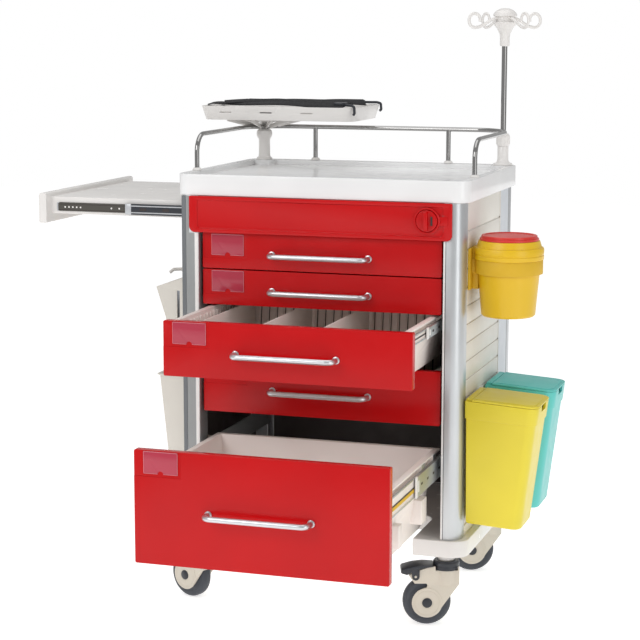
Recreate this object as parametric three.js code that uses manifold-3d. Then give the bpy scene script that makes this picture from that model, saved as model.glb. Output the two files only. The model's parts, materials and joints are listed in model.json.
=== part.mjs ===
// Hospital crash cart: five drawers, pull-out side shelf, defibrillator tray, drip-stand
// pole, sharps container, waste bins, side baskets and four swivel casters.
// Millimetres, +Z up, drawers open towards -Y. While the cart is being built X = 0 is its
// middle, Y = 0 the front edge of the worktop and Z = 0 the floor; the last lines move the
// origin to the middle of the underside.
import * as THREE from "three";
import { mergeVertices } from "three/addons/utils/BufferGeometryUtils.js";
import Module from "manifold-3d";

const wasm = await Module();
wasm.setup();

// ---------------------------------------------------------------- driving dimensions
const FIT = 0.3; // gap between pieces that rest on each other
const RUN = 0.5; // gap between pieces that slide past each other
const OVER = 1; // how far a cutting shape runs past what it cuts, and joined shapes run into each other

// casters, which carry the base
const WHEEL_RADIUS = 50;
const WHEEL_WIDTH = 27;
const WHEEL_TRAIL = 40;
const TYRE_CHAMFER = 7;
const FORK_ABOVE_WHEEL = 27;
const WHEEL_CLEAR = 2; // beside the wheel
const FORK_CHEEK = 5;
const FORK_BODY = 26;
const FORK_SIDE = 39; // height of the body above the wheel
const ARCH_CLEAR = 3; // fork over the tyre
const STEM_RADIUS = 9;
const STEM_IN_BASE = 20;
const BASE_ABOVE_FORK = 25;
const AXLE_RADIUS = 5;
const HUB_COVER = 31;
const HOOD_REACH = 78; // swivel axis to the hood's far end
const HOOD_DROP = 19;
const PIN_OUT = 64; // swivel axis to the brake pin
const PIN_ABOVE_WHEEL = 6;
const PIN_RADIUS = 2.5;
const PEDAL_REACH = 92;
const PEDAL_HINGE = 29; // swivel axis to the pedal's inner edge
const PEDAL_RISE = 6;
const PEDAL_DROP = 6;
const PEDAL_THICK = 11;
const PEDAL_EAR = 8;
const PEDAL_EAR_THICK = 2.5;

// worktop
const TOP_WIDTH = 625;
const TOP_DEPTH = 475;
const TOP_THICK = 44;
const TOP_CORNER = 30;
const TOP_RIM = 18;
const TOP_RECESS = 11;
const SOCKET_PAD = 27; // radius of the raised pads that carry the two posts
const HOLLOW_INSET_X = 70;
const HOLLOW_INSET_Y = 60;
const HOLLOW_DEPTH = 26;

// base
const BASE_PROUD_X = 4.5; // past the worktop at each end
const BASE_PROUD_Y = 6; // past the worktop at the front and back
const BASE_THICK = 35;
const BASE_CORNER = 34;
const FOOT_WIDTH = 111; // beside the open bay between the two front feet
const NOTCH_DEPTH = 192;
const NOTCH_CORNER = 40;
const BUSH_RADIUS = 18;
const BUSH_HEIGHT = 14;
const CASTER_INSET_X = 49; // base's end to the swivel axis
const CASTER_INSET_Y = 35; // worktop's front and back faces to the swivel axis

// columns, panels
const COLUMN_INSET = 10.5; // worktop's end to the outer face
const COLUMN_WIDTH = 40;
const COLUMN_DEPTH = 45;
const COLUMN_CORNER = 15;
const COLUMN_EDGE = 2;
const COLUMN_WALL = 4;
const PANEL_THICK = 8;
const BACK_THICK = 4;
const BACK_INSET = 2;
const GROOVE_WIDTH = 4;
const GROOVE_DEPTH = 2;
const GROOVE_DOWN = 59; // worktop's underside to the first groove

// fascia and lock
const FASCIA_INSET = 21; // column's outer face to the fascia's end
const FASCIA_HEIGHT = 75.5;
const FASCIA_GAP = 0.5; // under the worktop
const FASCIA_PROUD = 5; // in front of the worktop's front face
const FASCIA_BACK = 14;
const FASCIA_CORNER = 12;
const FASCIA_FRAME = 18;
const FASCIA_EDGE = 8;
const FASCIA_RECESS = 2;
const KNOB_FROM_END = 51;
const KNOB_DOWN = 35.5;
const KNOB_RADIUS = 22;
const KNOB_RING = 27;
const KNOB_RING_PROUD = 2;
const KNOB_TAB = 15;
const KNOB_TAB_HEIGHT = 18;
const KNOB_THICK = 6;
const KNOB_GRIP = 11;
const KNOB_GRIP_WIDTH = 8;
const KNOB_GRIP_INSET = 3;

// drawers, in height units
const UNIT = 38.1;
const DRAWER_UNITS = [2, 2, 3, 3, 6];
const DRAWERS_DOWN = 2; // fascia to the first front
const DRAWERS_UP = 4.4; // base to the last front's space
const DRAWER_GAP = 2.5;
const FRONT_CLEAR = 5; // beside the columns
const FRONT_THICK = 18;
const FRONT_CLOSED_Y = 10.5;
const FRONT_EDGE = 3;
const FRONT_SKIN = 3;
const DRAWER_OPEN = [0, 0, 219, 0, 373];
const SLIDE_SPACE = 12; // front's end to the tray's rim
const TRAY_BACK_GAP = 41.5; // closed tray to the worktop's back face
const TRAY_WALL = 3;
const TRAY_DRAFT = 0.14; // inward lean of the walls for each mm of height
const TRAY_RIM_WIDTH = 9;
const TRAY_RIM_THICK = 4;
const TRAY_BELOW_FRONT = 9; // front's lower edge to the tray's underside
const TRAY_RIM_DROP = [6, 6, 2, 6, 55]; // front's top edge to the rim
const SLIDE_HEIGHT = [20, 20, 20, 20, 40];
const SLIDE_BELOW_RIM = [6, 6, 9, 6, 12];
const SLIDE_SHORT = 9; // tray longer than its slide
const SLIDE_SETBACK = 3; // behind the front
const MEMBER = 4.5; // thickness of the drawer's slide member
const MIDDLE = 3.5; // thickness of the intermediate member
const MIDDLE_TALLER = 1; // above and below the drawer's member
const OUTER = 3; // thickness of the cabinet's slide member
const OUTER_TALLER = 2;
const SLIDE_BLOCK = 24;
const SLIDE_BLOCK_IN = 12; // panel's edge to the first block
const SLIDE_BLOCK_LOW = 3;
const WEB = 26; // length of a web between the tray's wall and its slide
const WEBS_FROM_BACK = [150, 60];
const WEB_FROM_FRONT = 6;
const HANDLE_LENGTH = 220;
const HANDLE_STAND = 30;
const HANDLE_RADIUS = 6.2;
const HANDLE_BEND = 16;
const HANDLE_RISE = -5;
const HANDLE_BOSS = 9;

// side shelf
const SHELF_OPEN = 310;
const SHELF_LENGTH = 443;
const SHELF_DOWN = 15; // under the worktop
const SHELF_THICK = 36;
const SHELF_SKIN = 4;
const SHELF_BAYS = 4;
const SHELF_RIB_UP = 8;
const SHELF_INSET = 30; // worktop's front and back faces to the shelf's edges
const LIP_THICK = 18;
const LIP_DOWN = 5;
const LIP_HEIGHT = 65;
const LIP_INSET = 6;
const SHELF_SLIDE_HEIGHT = 18;
const SHELF_SLIDE_LENGTH = 350;
const SHELF_SLIDE_LOW = 3; // below the middle of the shelf's edge
const SHELF_SLIDE_IN = 18; // lip to the shelf's slide member
const SHELF_MIDDLE_IN = 20;
const SHELF_MIDDLE_TALLER = 2.5;
const SHELF_OUTER_TALLER = 5;
const SHELF_OUTER_IN = 2; // column's outer face to the cabinet's slide member
const SHELF_OUTER_MORE = 60; // cabinet's slide member longer than the shelf's
const SHELF_BLOCK_HALF = 8;
const SHELF_BLOCK_IN = 20;
const SHELF_NOTCH_CLEAR = 3;

// guard rail
const RAIL_RADIUS = 5;
const RAIL_HEIGHT = 76; // rim to the middle of the top bar
const RAIL_INSET_X = 10.5;
const RAIL_INSET_BACK = 12;
const RAIL_FRONT = 97;
const RAIL_POST_INSET = 146; // end bar to the nearer back post
const RAIL_BEND = 38;
const RAIL_CORNER = 95;

// drip stand
const POLE_INSET_X = 28.5;
const POLE_INSET_BACK = 29;
const POLE_RADIUS = 6;
const POLE_RISE = 260; // above the rim
const POLE_SUNK = 250; // length below the rim
const SOCKET_FLANGE = 21;
const SOCKET_FLANGE_THICK = 5;
const SOCKET_RADIUS = 12;
const NUT_RADIUS = 15.5;
const NUT_HEIGHT = 27;
const NUT_UNDER_RAIL = 2;
const HEAD_RADIUS = 27;
const HEAD_HEIGHT = 82;
const HEAD_NECK = 10.5;
const HEAD_WAIST = 18;
const HOOK_HEIGHT = 56; // pole's end to the middle of the hooks
const HOOK_ROOT = 14;
const HOOK_REACH = 78;
const HOOK_CURL = 15;
const HOOK_ROD = 3;
const HOOK_COUNT = 4;
const HOOK_TURN = 45;

// defibrillator tray
const DEFIB_INSET_X = 36.5;
const DEFIB_INSET_BACK = 23;
const DEFIB_FLANGE = 18;
const DEFIB_FLANGE_THICK = 4;
const DEFIB_NECK = 13;
const DEFIB_COLLAR = 18;
const DEFIB_COLLAR_HEIGHT = 22;
const DEFIB_UNDER_RAIL = 2;
const DEFIB_PIN = 6.5;
const DEFIB_PIN_DEPTH = 42;
const DEFIB_SLEEVE = 8; // round the pin where it passes behind the guard rail
const DEFIB_WIDTH = 368;
const DEFIB_DEPTH = 216;
const DEFIB_SHIFT_X = 65; // tray's middle from its pivot
const DEFIB_OVER_RAIL = 13;
const DEFIB_THICK = 31;
const DEFIB_FLARE = 8;
const DEFIB_CORNER = 24;
const DEFIB_WALL = 3;
const DEFIB_DISH = 9;
const DEFIB_CONE = 92;
const DEFIB_CONE_TOP = 30;
const DEFIB_CONE_CLEAR = 3; // over the guard rail
const DEFIB_SLOT_PITCH = 96;
const DEFIB_SLOT_LENGTH = 28;
const DEFIB_SLOT_HEIGHT = 2.5;
const DEFIB_SLOT_SHIFT = -25;
const DEFIB_SLOT_DOWN = 12.5;
const STRAP_THICK = 5;
const STRAP_WIDTH = 110;
const STRAP_OVER = 3;
const STRAP_CORNER = 20;

// sharps container
const SHARPS_GAP = 5.5; // container's lip to the panel
const SHARPS_Y = 88;
const SHARPS_DOWN = 161.3; // worktop's rim to the top of the holding ring
const SHARPS_HANG = 116.7; // top of the ring to the bucket's underside
const SHARPS_RING_HEIGHT = 28.7;
const SHARPS_RING_CLEAR = 1.5; // ring round the bucket's seat
const SHARPS_RING_WALL = 3;
const SHARPS_FOOT = 55;
const SHARPS_SEAT = 65;
const SHARPS_LIP_PROUD = 5.5; // past the seat
const SHARPS_LIP_HEIGHT = 24;
const SHARPS_NECK_HEIGHT = 14;
const SHARPS_MOUTH_INSET = 12;
const SHARPS_WALL = 2;
const SHARPS_LID_INSET = 5; // inside the seat
const SHARPS_LID_HEIGHT = 10;
const SHARPS_PLATE_WIDTH = 82;
const SHARPS_PLATE_HEIGHT = 84;
const SHARPS_PLATE_UP = 22.3; // above the top of the ring
const SHARPS_PLATE_THICK = 5;
const SHARPS_ARM = 48;
const SHARPS_ARM_BITE = 6;

// waste bins
const BIN_GAP = 4; // panel to the bins
const BIN_UP = 32; // base to the bins' undersides
const BIN_TILT = 3.8;
const BIN_LENGTH = 151;
const BIN_WIDTH = 138;
const BIN_HEIGHT = 262;
const BIN_TAPER_X = 14; // outer end
const BIN_TAPER_Y = 8; // each side
const BIN_NOTCH = 40;
const BIN_NOTCH_DEPTH = 12;
const BIN_WALL = 2.5;
const BIN_BAND = 41;
const BIN_BAND_PROUD = 2.5;
const BIN_LID = 4;
const BIN_CORNER = 22;
const BIN_WALL_CORNER = 4;
const BIN_HINGE = 15;
const BIN_STRIP_INSET = 6;
const BIN_STRIP_THICK = 6;
const BIN_FRONT = 19;
const BIN_SPACE = 46;
const BIN_RAIL_DOWN = 35;
const BIN_RAIL_HEIGHT = 20;
const BIN_RAIL_SHORT = [6, 60];

// side baskets, each an open-topped hopper; the box hangs above the base and the basket above the box
const BASKET_FRONT = 60;
const BASKET_LENGTH = 250;
const BASKET_WALL = 2.5;
const BASKET = { up: 83, height: 128, frontLower: 28, reach: 81.7, foot: 49.7 };
const BASKET_SLOTS = { low: 15, high: 87, pitch: 24, width: 7, inset: 16 };
const BASKET_END_SLOTS = { pitch: 16, width: 6, inset: 12, high: 93 };
const BOX = { up: 105, height: 200, frontLower: 6, reach: 75.7, foot: 55.7 };
const BOX_LIP = 6;
const BOX_LIP_THICK = 3;

// places that follow from the dimensions above
const FORK_HALF = WHEEL_WIDTH / 2 + WHEEL_CLEAR + FORK_CHEEK;
const FORK_TOP = 2 * WHEEL_RADIUS + FORK_ABOVE_WHEEL;
const BASE_BOTTOM = FORK_TOP + BASE_ABOVE_FORK;
const BASE_TOP = BASE_BOTTOM + BASE_THICK;
const STEM_TOP = BASE_BOTTOM + STEM_IN_BASE;
const PIN_X = -PIN_OUT;
const PIN_Z = 2 * WHEEL_RADIUS + PIN_ABOVE_WHEEL;
const STACK = UNIT * DRAWER_UNITS.reduce((sum, units) => sum + units);
const DRAWERS_TOP = BASE_TOP + DRAWERS_UP + STACK;
const FASCIA_BOTTOM = DRAWERS_TOP + DRAWERS_DOWN;
const FASCIA_TOP = FASCIA_BOTTOM + FASCIA_HEIGHT;
const TOP_UNDER = FASCIA_TOP + FASCIA_GAP;
const TOP_HEIGHT = TOP_UNDER + TOP_THICK;
const BASE_WIDTH = TOP_WIDTH + 2 * BASE_PROUD_X;
const BASE_DEPTH = TOP_DEPTH + 2 * BASE_PROUD_Y;
const NOTCH_WIDTH = BASE_WIDTH - 2 * FOOT_WIDTH;
const CASTER_X = BASE_WIDTH / 2 - CASTER_INSET_X;
const CASTER_FRONT = CASTER_INSET_Y;
const CASTER_REAR = TOP_DEPTH - CASTER_INSET_Y;
const COLUMN_OUTER = TOP_WIDTH / 2 - COLUMN_INSET;
const COLUMN_INNER = COLUMN_OUTER - COLUMN_WIDTH;
const PANEL_INNER = COLUMN_OUTER - PANEL_THICK;
const PANEL_FRONT = COLUMN_DEPTH + FIT;
const BACK_Y = TOP_DEPTH - COLUMN_DEPTH;
const PANEL_BACK = BACK_Y - FIT;
const GROOVE_TOP = TOP_UNDER - GROOVE_DOWN;
const GROOVE_PITCH = UNIT;
const FASCIA_WIDTH = 2 * (COLUMN_OUTER - FASCIA_INSET);
const KNOB_X = FASCIA_WIDTH / 2 - KNOB_FROM_END;
const KNOB_Z = FASCIA_TOP - KNOB_DOWN;
const FRONT_WIDTH = 2 * (COLUMN_INNER - FRONT_CLEAR);
const TRAY_WIDTH = FRONT_WIDTH - 2 * SLIDE_SPACE;
const TRAY_DEPTH = TOP_DEPTH - TRAY_BACK_GAP - FRONT_CLOSED_Y - FRONT_THICK;
const SLIDE_LENGTH = TRAY_DEPTH - SLIDE_SHORT;
const SLIDE_FRONT = FRONT_CLOSED_Y + FRONT_THICK + SLIDE_SETBACK;
const TRAY_SIDE = TRAY_WIDTH / 2;
const MEMBER_OUT = TRAY_SIDE + MEMBER;
const MIDDLE_IN = MEMBER_OUT + RUN;
const MIDDLE_OUT = MIDDLE_IN + MIDDLE;
const OUTER_IN = MIDDLE_OUT + RUN;
const OUTER_OUT = OUTER_IN + OUTER;
const SHELF_TOP = TOP_UNDER - SHELF_DOWN;
const SHELF_FRONT = SHELF_INSET;
const SHELF_BACK = TOP_DEPTH - SHELF_INSET;
const LIP_TOP = TOP_UNDER - LIP_DOWN;
const LIP_BOTTOM = LIP_TOP - LIP_HEIGHT;
const RAIL_X = TOP_WIDTH / 2 - RAIL_INSET_X;
const RAIL_BACK = TOP_DEPTH - RAIL_INSET_BACK;
const RAIL_POST_X = RAIL_X - RAIL_POST_INSET;
const RAIL_UNDER = RAIL_HEIGHT - RAIL_RADIUS;
const SOCKET_HEIGHT = RAIL_UNDER - NUT_UNDER_RAIL - NUT_HEIGHT;
const DEFIB_POST_HEIGHT = RAIL_UNDER - DEFIB_UNDER_RAIL;
const POLE_X = TOP_WIDTH / 2 - POLE_INSET_X;
const POLE_Y = TOP_DEPTH - POLE_INSET_BACK;
const POLE_TOP = TOP_HEIGHT + POLE_RISE;
const DEFIB_X = DEFIB_INSET_X - TOP_WIDTH / 2;
const DEFIB_Y = TOP_DEPTH - DEFIB_INSET_BACK;
const DEFIB_BOTTOM = TOP_HEIGHT + RAIL_HEIGHT + RAIL_RADIUS + DEFIB_OVER_RAIL;
const DEFIB_TOP = DEFIB_BOTTOM + DEFIB_THICK;
const DEFIB_CONE_DEPTH = DEFIB_OVER_RAIL - DEFIB_CONE_CLEAR;
const WALL = COLUMN_OUTER + FIT; // where things seat on a side panel
const SHARPS_LIP = SHARPS_SEAT + SHARPS_LIP_PROUD;
const SHARPS_LID = SHARPS_SEAT - SHARPS_LID_INSET;
const SHARPS_MOUTH = SHARPS_LID - SHARPS_MOUTH_INSET;
const SHARPS_X = COLUMN_OUTER + SHARPS_LIP + SHARPS_GAP;
const SHARPS_RING_TOP = TOP_HEIGHT - SHARPS_DOWN;
const SHARPS_RING_LOW = SHARPS_RING_TOP - SHARPS_RING_HEIGHT;
const SHARPS_BOTTOM = SHARPS_RING_TOP - SHARPS_HANG;
const SHARPS_RING = SHARPS_SEAT + SHARPS_RING_CLEAR;
const BIN_BACK = COLUMN_OUTER + BIN_GAP;
const BIN_TOP = BASE_TOP + BIN_UP + BIN_HEIGHT;
const BIN_RAIL_Z = BIN_TOP - BIN_RAIL_DOWN;
const BIN_Y = [0, 1].map((i) => BIN_FRONT + BIN_WIDTH / 2 + i * (BIN_WIDTH + BIN_SPACE));
const CASTERS = {
  front_left: { side: -1, y: CASTER_FRONT, turn: -23, brake: true },
  front_right: { side: 1, y: CASTER_FRONT, turn: 18, brake: true },
  rear_left: { side: -1, y: CASTER_REAR, turn: -15, brake: false },
  rear_right: { side: 1, y: CASTER_REAR, turn: 18, brake: false },
};

// ---------------------------------------------------------------- materials
const paint = (color, roughness, metalness = 0) =>
  new THREE.MeshStandardMaterial({ color, roughness, metalness });
const WHITE = 0xf1f0ee;
const CREAM = 0xe6e2da;
const RED = 0xc8161c;
const YELLOW = 0xe0bd1e;
const TEAL = 0x5fc0bd;
const SILVER = 0xb9bbbd;
const CHROME = 0xc9cbcc;
const DARK = 0x2b2d30;
const BEIGE = 0xcdc6b8;

// ---------------------------------------------------------------- shape helpers
const AXES = {
  x: new THREE.Matrix4().makeBasis(
    new THREE.Vector3(0, 1, 0), new THREE.Vector3(0, 0, 1), new THREE.Vector3(1, 0, 0)),
  y: new THREE.Matrix4().makeBasis(
    new THREE.Vector3(1, 0, 0), new THREE.Vector3(0, 0, 1), new THREE.Vector3(0, -1, 0)),
  z: new THREE.Matrix4(),
};

// a box between two corners
function box(x0, x1, y0, y1, z0, z1) {
  const geometry = new THREE.BoxGeometry(x1 - x0, y1 - y0, z1 - z0);
  geometry.translate((x0 + x1) / 2, (y0 + y1) / 2, (z0 + z1) / 2);
  return geometry;
}

// a flat outline pushed along X (outline in Y, Z), Y (outline in X, Z) or Z (outline in X, Y)
function prism(shape, axis, low, high, curveSegments = 5) {
  const geometry = new THREE.ExtrudeGeometry(shape, {
    depth: high - low,
    bevelEnabled: false,
    curveSegments,
  });
  if (axis === "y") {
    geometry.applyMatrix4(AXES.y);
    geometry.translate(0, high, 0);
    return geometry;
  }
  geometry.applyMatrix4(AXES[axis]);
  geometry.translate(axis === "x" ? low : 0, 0, axis === "z" ? low : 0);
  return geometry;
}

// a rectangle with round corners; a corner radius can differ from corner to corner
function roundRect(x0, x1, y0, y1, radii) {
  const [a, b, c, d] = Array.isArray(radii) ? radii : [radii, radii, radii, radii];
  const shape = new THREE.Shape();
  const corner = (x, y, r, from) => {
    if (r > 0) {
      shape.absarc(x, y, r, from, from + Math.PI / 2);
      return;
    }
    shape.lineTo(x, y);
  };
  shape.moveTo(x0 + a, y0);
  corner(x1 - b, y0 + b, b, -Math.PI / 2);
  corner(x1 - c, y1 - c, c, 0);
  corner(x0 + d, y1 - d, d, Math.PI / 2);
  corner(x0 + a, y0 + a, a, Math.PI);
  return shape;
}

function polygon(points) {
  return new THREE.Shape(points.map(([x, y]) => new THREE.Vector2(x, y)));
}

// a round piece about the Z axis through (x, y); profile holds [radius, height] pairs
function turned(profile, x, y, segments = 24) {
  const points = profile.map(([r, z]) => new THREE.Vector2(r, z));
  const geometry = new THREE.LatheGeometry(points, segments);
  geometry.rotateX(Math.PI / 2);
  geometry.translate(x, y, 0);
  return geometry;
}

function disc(x, y, radius, z0, z1, segments = 24) {
  return turned([[0, z0], [radius, z0], [radius, z1], [0, z1]], x, y, segments);
}

// a cylinder lying along Y
function rod(x, z, radius, y0, y1, segments = 20) {
  const geometry = new THREE.CylinderGeometry(radius, radius, y1 - y0, segments);
  geometry.translate(x, (y0 + y1) / 2, z);
  return geometry;
}

// a path through corner points whose bends are arcs; its steps fall on the bends only
class BentPath extends THREE.Curve {
  constructor(corners, radii, steps = 4) {
    super();
    this.points = [corners[0].clone()];
    for (let i = 1; i < corners.length - 1; i += 1) {
      const into = corners[i].clone().sub(corners[i - 1]).normalize();
      const out = corners[i + 1].clone().sub(corners[i]).normalize();
      const half = into.angleTo(out) / 2;
      const radius = Array.isArray(radii) ? radii[i - 1] : radii;
      const side = out.clone().sub(into).normalize();
      const centre = corners[i].clone().addScaledVector(side, radius / Math.cos(half));
      for (let k = 0; k <= steps; k += 1) {
        const angle = -half + (2 * half * k) / steps;
        const forward = out.clone().add(into).normalize();
        this.points.push(centre.clone()
          .addScaledVector(side, -radius * Math.cos(angle))
          .addScaledVector(forward, radius * Math.sin(angle)));
      }
    }
    this.points.push(corners[corners.length - 1].clone());
  }

  get steps() {
    return this.points.length - 1;
  }

  getPoint(t) {
    return this.points[Math.round(t * this.steps)].clone();
  }

  getPointAt(t) {
    return this.getPoint(t);
  }

  getTangentAt(t) {
    const i = Math.round(t * this.steps);
    const before = this.points[Math.max(i - 1, 0)];
    const after = this.points[Math.min(i + 1, this.steps)];
    const into = this.points[i].clone().sub(before).normalize();
    const out = after.clone().sub(this.points[i]).normalize();
    return into.add(out).normalize();
  }

  getTangent(t) {
    return this.getTangentAt(t);
  }
}

// a round bar along a bent path
function tube(path, radius, sides = 10) {
  const shape = new THREE.Shape();
  for (let i = 0; i < sides; i += 1) {
    const angle = ((i + 0.5) * 2 * Math.PI) / sides;
    const x = radius * Math.cos(angle);
    const y = radius * Math.sin(angle);
    if (i === 0) shape.moveTo(x, y);
    else shape.lineTo(x, y);
  }
  shape.closePath();
  return new THREE.ExtrudeGeometry(shape, {
    steps: path.steps,
    extrudePath: path,
    bevelEnabled: false,
  });
}

// moves each point's X and Y in step with its height, for walls that lean
function lean(geometry, move) {
  const place = geometry.attributes.position;
  for (let i = 0; i < place.count; i += 1) {
    const [x, y] = move(place.getX(i), place.getY(i), place.getZ(i));
    place.setXY(i, x, y);
  }
  return geometry;
}

// ---------------------------------------------------------------- solids
function signedVolume(geometry) {
  const p = geometry.attributes.position;
  const index = geometry.index.array;
  const [a, b, c] = [new THREE.Vector3(), new THREE.Vector3(), new THREE.Vector3()];
  let sum = 0;
  for (let i = 0; i < index.length; i += 3) {
    a.fromBufferAttribute(p, index[i]);
    b.fromBufferAttribute(p, index[i + 1]);
    c.fromBufferAttribute(p, index[i + 2]);
    sum += a.dot(b.cross(c));
  }
  return sum;
}

function solid(geometry) {
  if (!geometry.isBufferGeometry) return geometry;
  const bare = new THREE.BufferGeometry();
  bare.setAttribute("position", geometry.attributes.position.clone());
  if (geometry.index) bare.setIndex(geometry.index.clone());
  const merged = mergeVertices(bare, 1e-4);
  const full = [];
  for (let i = 0; i < merged.index.count; i += 3) {
    const tri = [0, 1, 2].map((k) => merged.index.getX(i + k));
    if (tri[0] !== tri[1] && tri[1] !== tri[2] && tri[0] !== tri[2]) full.push(...tri);
  }
  merged.setIndex(full);
  if (signedVolume(merged) < 0) {
    for (let i = 0; i < full.length; i += 3) [full[i], full[i + 1]] = [full[i + 1], full[i]];
  }
  return new wasm.Manifold(new wasm.Mesh({
    numProp: 3,
    vertProperties: new Float32Array(merged.attributes.position.array),
    triVerts: new Uint32Array(full),
  }));
}

const join = (...pieces) => pieces.flat().map(solid).reduce((sum, piece) => sum.add(piece));
const cut = (from, ...pieces) =>
  pieces.flat().map(solid).reduce((rest, piece) => rest.subtract(piece), solid(from));

function geometryOf(body) {
  const mesh = body.getMesh();
  const geometry = new THREE.BufferGeometry();
  const count = mesh.vertProperties.length / mesh.numProp;
  const place = new Float32Array(count * 3);
  for (let i = 0; i < count; i += 1) {
    for (let k = 0; k < 3; k += 1) place[i * 3 + k] = mesh.vertProperties[i * mesh.numProp + k];
  }
  geometry.setAttribute("position", new THREE.BufferAttribute(place, 3));
  geometry.setIndex(new THREE.BufferAttribute(new Uint32Array(mesh.triVerts), 1));
  geometry.computeVertexNormals();
  return geometry;
}

const cart = new THREE.Group();

function add(name, body, material, group = cart) {
  const mesh = new THREE.Mesh(geometryOf(solid(body)), material);
  mesh.name = name;
  group.add(mesh);
  return mesh;
}

// the same piece on the other side of the cart
function mirrored(body) {
  return geometryOf(solid(body)).applyMatrix4(new THREE.Matrix4().makeScale(-1, 1, 1));
}

// ---------------------------------------------------------------- worktop
{
  const half = TOP_WIDTH / 2;
  const slab = prism(roundRect(-half, half, 0, TOP_DEPTH, TOP_CORNER), "z", TOP_UNDER, TOP_HEIGHT);
  const inner = half - TOP_RIM;
  const dish = prism(
    roundRect(-inner, inner, TOP_RIM, TOP_DEPTH - TOP_RIM, TOP_CORNER - TOP_RIM / 2),
    "z", TOP_HEIGHT - TOP_RECESS, TOP_HEIGHT + OVER);
  const pads = [[POLE_X, POLE_Y], [DEFIB_X, DEFIB_Y]].map(([x, y]) =>
    disc(x, y, SOCKET_PAD, TOP_HEIGHT - TOP_RECESS - OVER, TOP_HEIGHT));
  const padsInside = join(pads).intersect(solid(slab));
  const hollow = box(
    -half + HOLLOW_INSET_X, half - HOLLOW_INSET_X,
    HOLLOW_INSET_Y, TOP_DEPTH - HOLLOW_INSET_Y,
    TOP_UNDER - OVER, TOP_UNDER + HOLLOW_DEPTH);
  const poleBore = disc(POLE_X, POLE_Y, POLE_RADIUS + RUN, TOP_UNDER - OVER, TOP_HEIGHT + OVER, 16);
  const body = cut(join(cut(slab, dish, hollow), padsInside), poleBore);
  add("worktop", body, paint(WHITE, 0.28));
}

// ---------------------------------------------------------------- base
{
  const half = BASE_WIDTH / 2;
  const front = (TOP_DEPTH - BASE_DEPTH) / 2;
  const back = front + BASE_DEPTH;
  const bay = NOTCH_WIDTH / 2;
  const outline = new THREE.Shape();
  outline.moveTo(-bay + NOTCH_CORNER, front + NOTCH_DEPTH);
  outline.absarc(-bay + NOTCH_CORNER, front + NOTCH_DEPTH - NOTCH_CORNER, NOTCH_CORNER,
    Math.PI / 2, Math.PI);
  outline.lineTo(-bay, front);
  outline.absarc(-half + BASE_CORNER, front + BASE_CORNER, BASE_CORNER, 1.5 * Math.PI, Math.PI, true);
  outline.absarc(-half + BASE_CORNER, back - BASE_CORNER, BASE_CORNER, Math.PI, Math.PI / 2, true);
  outline.absarc(half - BASE_CORNER, back - BASE_CORNER, BASE_CORNER, Math.PI / 2, 0, true);
  outline.absarc(half - BASE_CORNER, front + BASE_CORNER, BASE_CORNER, 0, -Math.PI / 2, true);
  outline.lineTo(bay, front);
  outline.absarc(bay - NOTCH_CORNER, front + NOTCH_DEPTH - NOTCH_CORNER, NOTCH_CORNER,
    0, Math.PI / 2);
  const plate = prism(outline, "z", BASE_BOTTOM, BASE_TOP);
  const places = Object.values(CASTERS).map(({ side, y }) => [side * CASTER_X, y]);
  const bushes = places.map(([x, y]) =>
    disc(x, y, BUSH_RADIUS, BASE_BOTTOM - BUSH_HEIGHT, BASE_BOTTOM + OVER, 12));
  const bores = places.map(([x, y]) =>
    disc(x, y, STEM_RADIUS + 2 * RUN, BASE_BOTTOM - BUSH_HEIGHT - OVER, STEM_TOP + 2 * OVER, 12));
  add("base_frame", cut(join(plate, bushes), bores), paint(WHITE, 0.32));
}

// ---------------------------------------------------------------- columns
// a hollow extrusion with a round outer corner; the left pair are notched for the shelf
function column(side, rear) {
  const y0 = rear ? BACK_Y : 0;
  const y1 = y0 + COLUMN_DEPTH;
  const edge = COLUMN_EDGE;
  const outer = [edge, rear ? edge : COLUMN_CORNER, rear ? COLUMN_CORNER : edge, edge];
  const shape = roundRect(COLUMN_INNER, COLUMN_OUTER, y0, y1, outer);
  const bore = roundRect(COLUMN_INNER + COLUMN_WALL, COLUMN_OUTER - COLUMN_WALL,
    y0 + COLUMN_WALL, y1 - COLUMN_WALL, 0);
  const body = cut(
    prism(shape, "z", BASE_TOP + FIT, TOP_UNDER - FIT, 5),
    prism(bore, "z", BASE_TOP, TOP_UNDER, 1));
  if (side > 0) return body;
  const slides = MEMBER + MIDDLE + OUTER + 2 * RUN;
  const notchFront = rear ? y0 - OVER : FASCIA_BACK + RUN;
  const notchBack = rear ? SHELF_BACK + slides + SHELF_NOTCH_CLEAR : y1 + OVER;
  const notch = box(COLUMN_INNER - OVER, COLUMN_OUTER + OVER, notchFront, notchBack,
    LIP_BOTTOM, TOP_UNDER);
  return cut(mirrored(body), mirrored(notch));
}
for (const rear of [false, true]) {
  for (const side of [-1, 1]) {
    const name = `column_${rear ? "rear" : "front"}_${side > 0 ? "right" : "left"}`;
    add(name, column(side, rear), paint(SILVER, 0.38, 0.75));
  }
}

// ---------------------------------------------------------------- drawers' common places
const drawers = [];
{
  let top = DRAWERS_TOP;
  DRAWER_UNITS.forEach((units, i) => {
    const height = units * UNIT;
    const rim = top - TRAY_RIM_DROP[i];
    drawers.push({
      number: i + 1,
      top,
      bottom: top - height + DRAWER_GAP,
      rim,
      slide: rim - SLIDE_BELOW_RIM[i] - SLIDE_HEIGHT[i] / 2,
      slideHeight: SLIDE_HEIGHT[i],
      open: DRAWER_OPEN[i],
    });
    top -= height;
  });
}

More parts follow.
